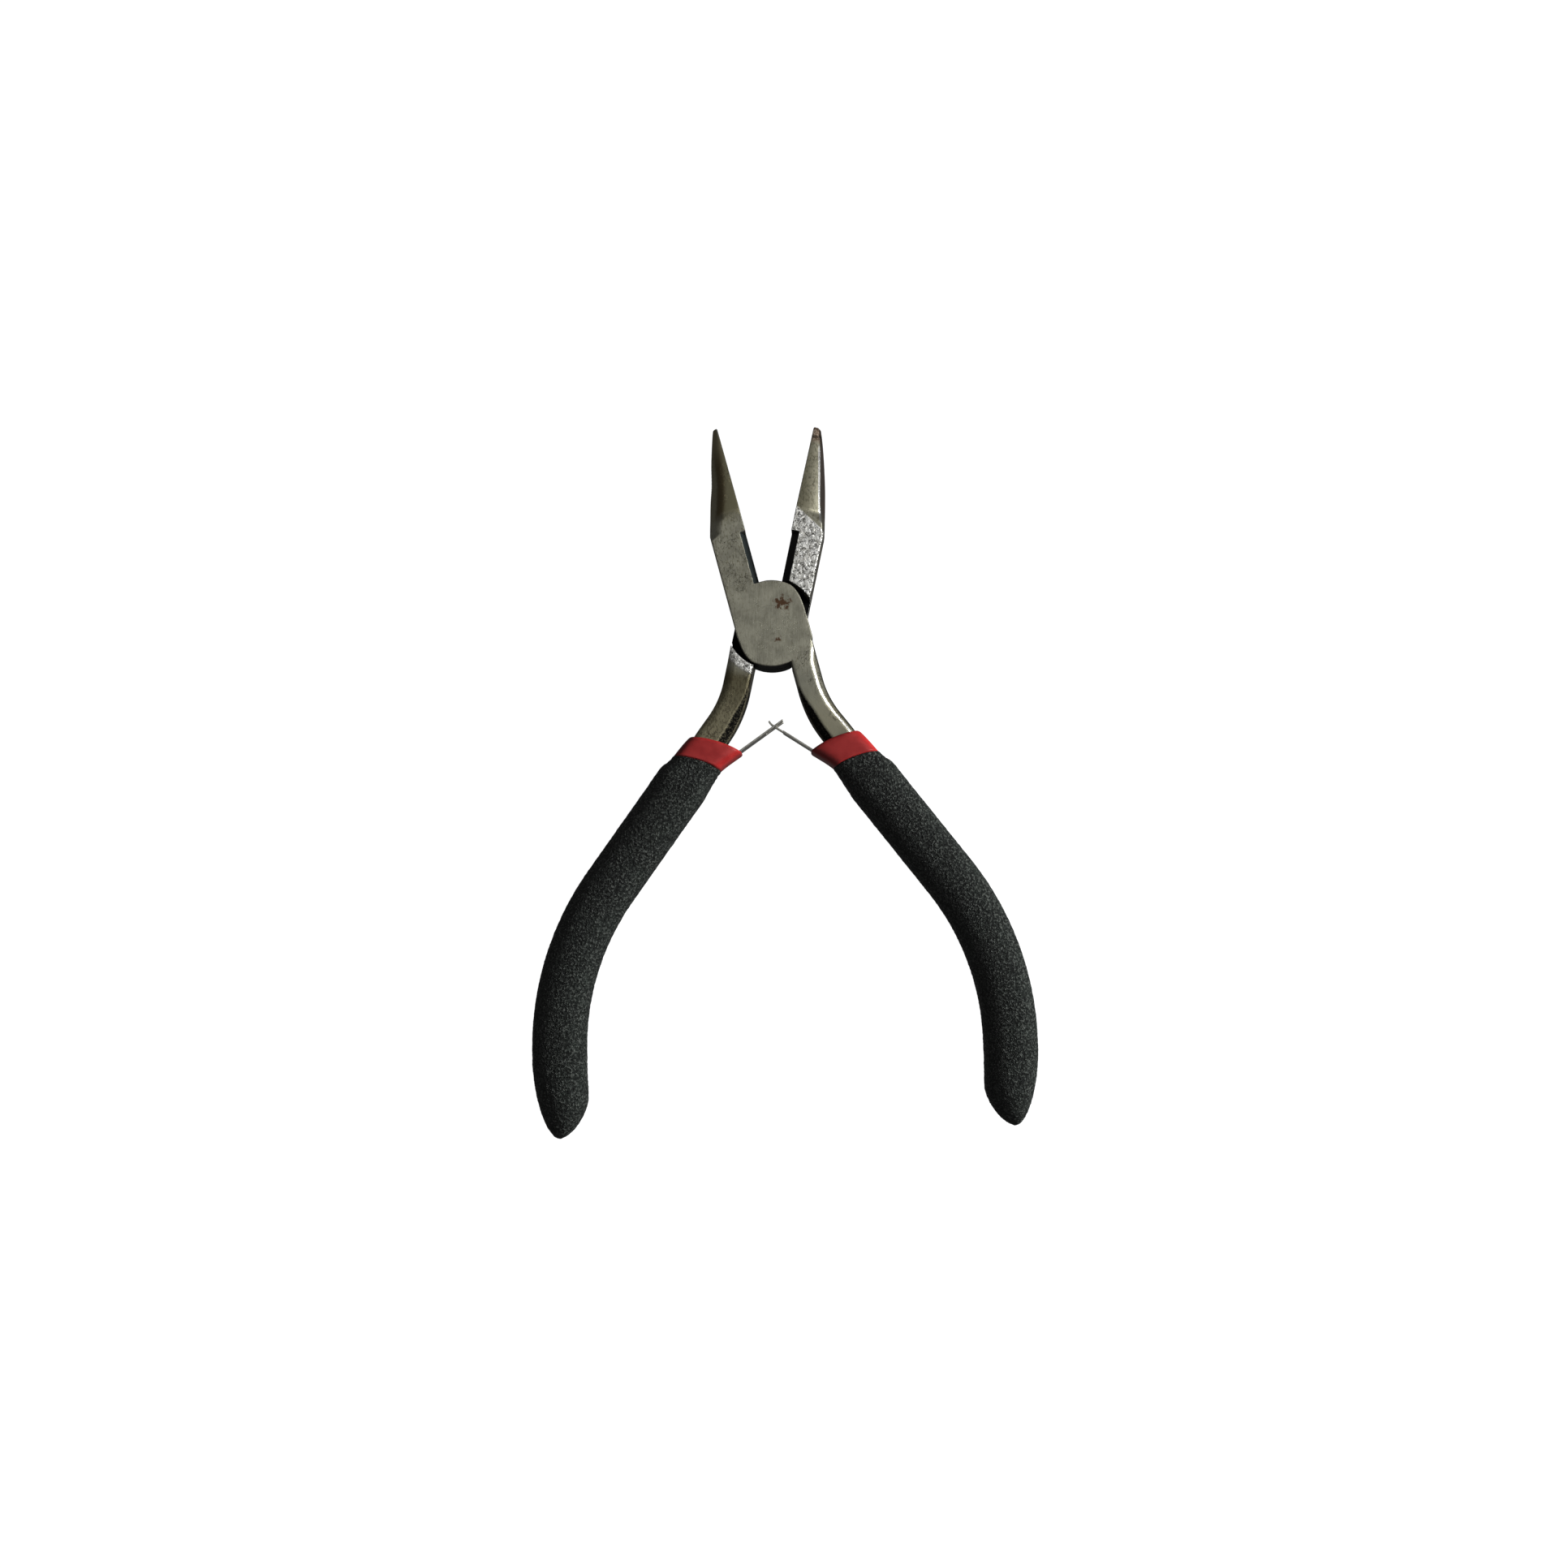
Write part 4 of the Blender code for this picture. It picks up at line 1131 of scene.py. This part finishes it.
def steel_material(name, side):
    """Forged steel, ground on its faces, with pits and rust, edges painted bright as wear and painted
    highlight, and painted black shade in its recesses and on its bevels.
    """
    s = Shader(name)
    n = steel_fields(s, side)
    colour = ground_steel(s, n)
    colour = nose_skin(s, n, side, colour)
    colour = shank_skin(s, n, side, colour)
    silver = silver_mask(s, n) if side == "back" else None
    if silver is not None:
        mottled = s.ramp(s.noise(n.spot, 1.6, 3.0), 0.35, 0.65)
        colour = s.mix(silver, colour, s.mix(mottled, (0.66, 0.65, 0.6), (1.0, 1.0, 0.96)))
    damage = damage_mask(s, n, silver)
    colour = s.mix(s.times(damage, 0.85), colour, (0.03, 0.025, 0.016))
    if side == "front":
        colour = s.mix(s.times(rust_mask(s, n), 0.9), colour, (0.09, 0.034, 0.012))
    wear_and_highlight = wear_and_highlight_mask(s, n, side)
    # Near white on the masked edges: wear and painted highlight on the sharp edges, painted highlight on
    # the two lines.
    colour = s.mix(s.times(wear_and_highlight, 0.85), colour, (1.0, 1.0, 0.97))
    # Darker in the concave hollows, found by probing out along the normal.
    darker_in_hollows = s.ramp(s.field("hollow"), 0.12, 0.5)
    colour = s.mix(s.times(darker_in_hollows, 0.8), colour, (0.03, 0.028, 0.022))
    recess, cutter, bevel = painted_shade_masks(s, n)
    # Painted shade: black, and a near-black bluish grey on the front lever's cutter bevel; the metal is
    # mostly turned off there to keep it dark.
    black = (0.0008, 0.0008, 0.0008)
    colour = s.mix(cutter, colour, (0.01, 0.0125, 0.0125) if side == "front" else black)
    colour = s.mix(bevel, colour, (0.0015, 0.0015, 0.0014))
    colour = s.mix(recess, colour, black)
    painted_shade = s.most(s.most(recess, cutter), bevel)
    rough = s.mix_value(s.ramp(n.patches, 0.3, 0.7), 0.4, 0.52)
    rough = s.plus(rough, s.swing(n.scratches, 0.2))
    rough = s.mix_value(painted_shade, s.mix_value(wear_and_highlight, rough, 0.24), 0.6)
    height = s.plus(s.times(n.scratches, 0.12), s.times(n.grain, 0.2))
    height = s.minus(height, s.times(damage, 0.9))
    if silver is not None:
        height = s.plus(height, s.times(s.times(n.deep_pits, silver), 3.0))
    return s.finish(
        Base_Color=colour,
        Metallic=s.minus(1.0, s.times(painted_shade, 0.9)),
        Roughness=rough,
        Normal=s.bump(height, 0.5, 0.12),
        Specular_IOR_Level=0.1,
    )


def spring_material():
    s = Shader("spring_steel_bright")
    spot = s.place()
    drawn = s.noise(s.stretched(spot, 0.0, (1.0, 1.0, 14.0)), 1.0, 3.0)
    mottled = s.noise(spot, 1.6, 3.0)
    colour = s.mix(s.ramp(mottled, 0.35, 0.7), (0.5, 0.49, 0.43), (0.68, 0.67, 0.6))
    rough = s.mix_value(s.ramp(drawn, 0.3, 0.7), 0.24, 0.36)
    normal = s.bump(drawn, 0.25, 0.03)
    return s.finish(Base_Color=colour, Metallic=1.0, Roughness=rough, Normal=normal)


def sleeve_material():
    s = Shader("red_pvc_gloss")
    spot = s.place()
    cloudy = s.noise(spot, 0.5, 3.0)
    speck = s.noise(spot, 7.0, 2.0)
    colour = s.mix(s.ramp(cloudy, 0.35, 0.68), (0.22, 0.012, 0.012), (0.27, 0.018, 0.017))
    rough = s.mix_value(s.ramp(cloudy, 0.35, 0.7), 0.38, 0.48)
    height = s.plus(s.times(cloudy, 1.0), s.times(speck, 0.05))
    normal = s.bump(height, 0.25, 0.12)
    return s.finish(Base_Color=colour, Roughness=rough, Normal=normal, Specular_IOR_Level=0.35)


def grip_material():
    s = Shader("black_foam_grain")
    spot = s.place()
    cloudy = s.noise(spot, 0.3, 3.0)
    grain = s.noise(spot, 2.4, 1.5, 0.6)
    fine = s.noise(spot, 4.8, 2.0, 0.6)
    folds = s.size(s.minus(s.noise(spot, 1.5, 1.5, 0.5), 0.5))
    grooves = s.ramp(folds, 0.06, 0.01)
    lumps = s.ramp(s.minus(grain, s.times(grooves, 0.12)), 0.38, 0.64)
    # The raised grain is painted lighter and its grooves darker: the foam's own mottle, partly painted
    # light on the raised grain.
    colour = s.mix(lumps, (0.0062, 0.0072, 0.0066), (0.0275, 0.0315, 0.0285))
    colour = s.mix(s.ramp(cloudy, 0.4, 0.75, 0.0, 0.2), colour, (0.024, 0.031, 0.026))
    # Painted highlight: light spots on the peaks of the grain stand in for glints.
    painted_glints = s.times(s.ramp(grain, 0.55, 0.66), s.ramp(fine, 0.42, 0.55))
    colour = s.mix(s.times(painted_glints, 0.32), colour, (0.12, 0.125, 0.115))
    height = s.plus(s.times(grain, 1.0), s.times(fine, 0.25))
    height = s.minus(height, s.times(grooves, 0.3))
    normal = s.bump(height, 1.0, 0.5)
    rough = s.mix_value(lumps, 0.7, 0.42)
    return s.finish(Base_Color=colour, Roughness=rough, Normal=normal, Specular_IOR_Level=0.28)


def give(obj, material):
    obj.data.materials.clear()
    obj.data.materials.append(material)


# ---- the pieces
def build_pieces():
    """Both halves: lever, sleeve, grip and spring, with the rivet on the front half."""
    steels = {side: steel_material(f"steel_{side}", side) for side in ("front", "back")}
    bright = spring_material()
    red = sleeve_material()
    foam = grip_material()
    for side, hand in (("front", "right"), ("back", "left")):
        body = f"{side}_half"
        lever = make_lever(f"forged_lever_{side}", side)
        give(lever, steels[side])
        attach(lever, body)
        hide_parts(f"{side}_lever")
        if side == "front":
            rivet = make_rivet()
            give(rivet, steels[side])
            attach(rivet, body)
            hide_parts("pivot_rivet")
        red_sleeve = closed_tube(f"red_collar_sleeve_{hand}", sleeve_rings(side), side)
        give(red_sleeve, red)
        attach(red_sleeve, body)
        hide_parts(f"sleeve_{hand}")
        soft = closed_tube(f"foam_grip_{hand}", grip_rings(side), side, roughen=GRIP_GRAIN)
        give(soft, foam)
        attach(soft, body)
        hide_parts(f"grip_{hand}")
        spring, hinge, ahead = make_spring(f"leaf_spring_{hand}", side)
        give(spring, bright)
        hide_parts(f"spring_root_{hand}", f"spring_leaf_{hand}")
        way = ahead - hinge
        start, end = tuple(hinge - 0.5 * way), tuple(hinge + 0.5 * way)
        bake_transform(spring)
        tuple(start)
        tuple(end)
        rivet_node = bpy.data.objects[f"spring_rivet_{hand}"]
        for slot in rivet_node.material_slots:
            slot.material = bright


# ---- floor, light and camera
def add_light(name, spot, target, size, power):
    light = bpy.data.lights.new(name, "AREA")
    light.shape = "RECTANGLE"
    light.size, light.size_y = size
    light.energy = power
    obj = linked_object(name, light)
    obj.location = spot
    obj.visible_camera = False
    obj.rotation_euler = (Vector(target) - Vector(spot)).to_track_quat("-Z", "Y").to_euler()
    return obj


def build_studio():
    """A white floor that only the camera sees, a key light and two lights seen as reflections."""
    low = cad_bounds[0]
    bm = bmesh.new()
    bmesh.ops.create_grid(bm, x_segments=8, y_segments=8, size=3.0)
    mesh = bpy.data.meshes.new("floor")
    bm.to_mesh(mesh)
    bm.free()
    floor = linked_object("floor", mesh)
    floor.location = (0, 0, low[2] - 0.0001)
    s = Shader("pale_floor")
    haze = s.noise(s.place(), 0.004, 2.0)
    colour = s.mix(haze, (0.1, 0.1, 0.1), (0.12, 0.12, 0.12))
    paper = s.finish(Base_Color=colour, Roughness=0.9, Emission_Color=(1, 1, 1), Emission_Strength=1.0)
    floor.data.materials.append(paper)
    floor.visible_diffuse = False
    floor.visible_glossy = False

    world = bpy.context.scene.world or bpy.data.worlds.new("studio")
    bpy.context.scene.world = world
    world.use_nodes = True
    background = world.node_tree.nodes["Background"].inputs
    background["Color"].default_value = (1, 1, 1, 1)
    background["Strength"].default_value = 0.1
    middle = (0.0, -0.02, 0.0)
    key = add_light("key", (0.6, 0.08, 0.165), middle, (0.14, 0.3), 12.5)
    key.visible_glossy = False
    for name, spot, size, power in (
        ("glint", (0.42, 0.1, 0.46), (0.2, 0.3), 2.2),
        ("sky", (0.0, -0.02, 0.62), (1.3, 1.3), 0.85),
    ):
        add_light(name, spot, middle, size, power).visible_diffuse = False


def build_camera():
    """A camera above the tool that looks almost straight down, with the noses upright."""
    position = Vector((7.92, -63.85, 384.0)) * MM
    target = Vector((1.32, -28.07, 6.0)) * MM
    camera = bpy.data.cameras.new("camera")
    camera.lens = 50.0
    camera.sensor_width = 36.0
    camera.clip_start = 0.01
    obj = linked_object("camera", camera)
    back = (position - target).normalized()
    right = Vector((0, 1, 0)).cross(back).normalized()
    look = Matrix((right, back.cross(right), back)).transposed().to_4x4()
    obj.matrix_world = Matrix.Translation(position) @ look @ Matrix.Rotation(-CAMERA_ROLL, 4, "Z")
    bpy.context.scene.camera = obj


build_pieces()
build_studio()
build_camera()
bpy.context.scene.view_settings.view_transform = "Standard"
bpy.context.view_layer.update()
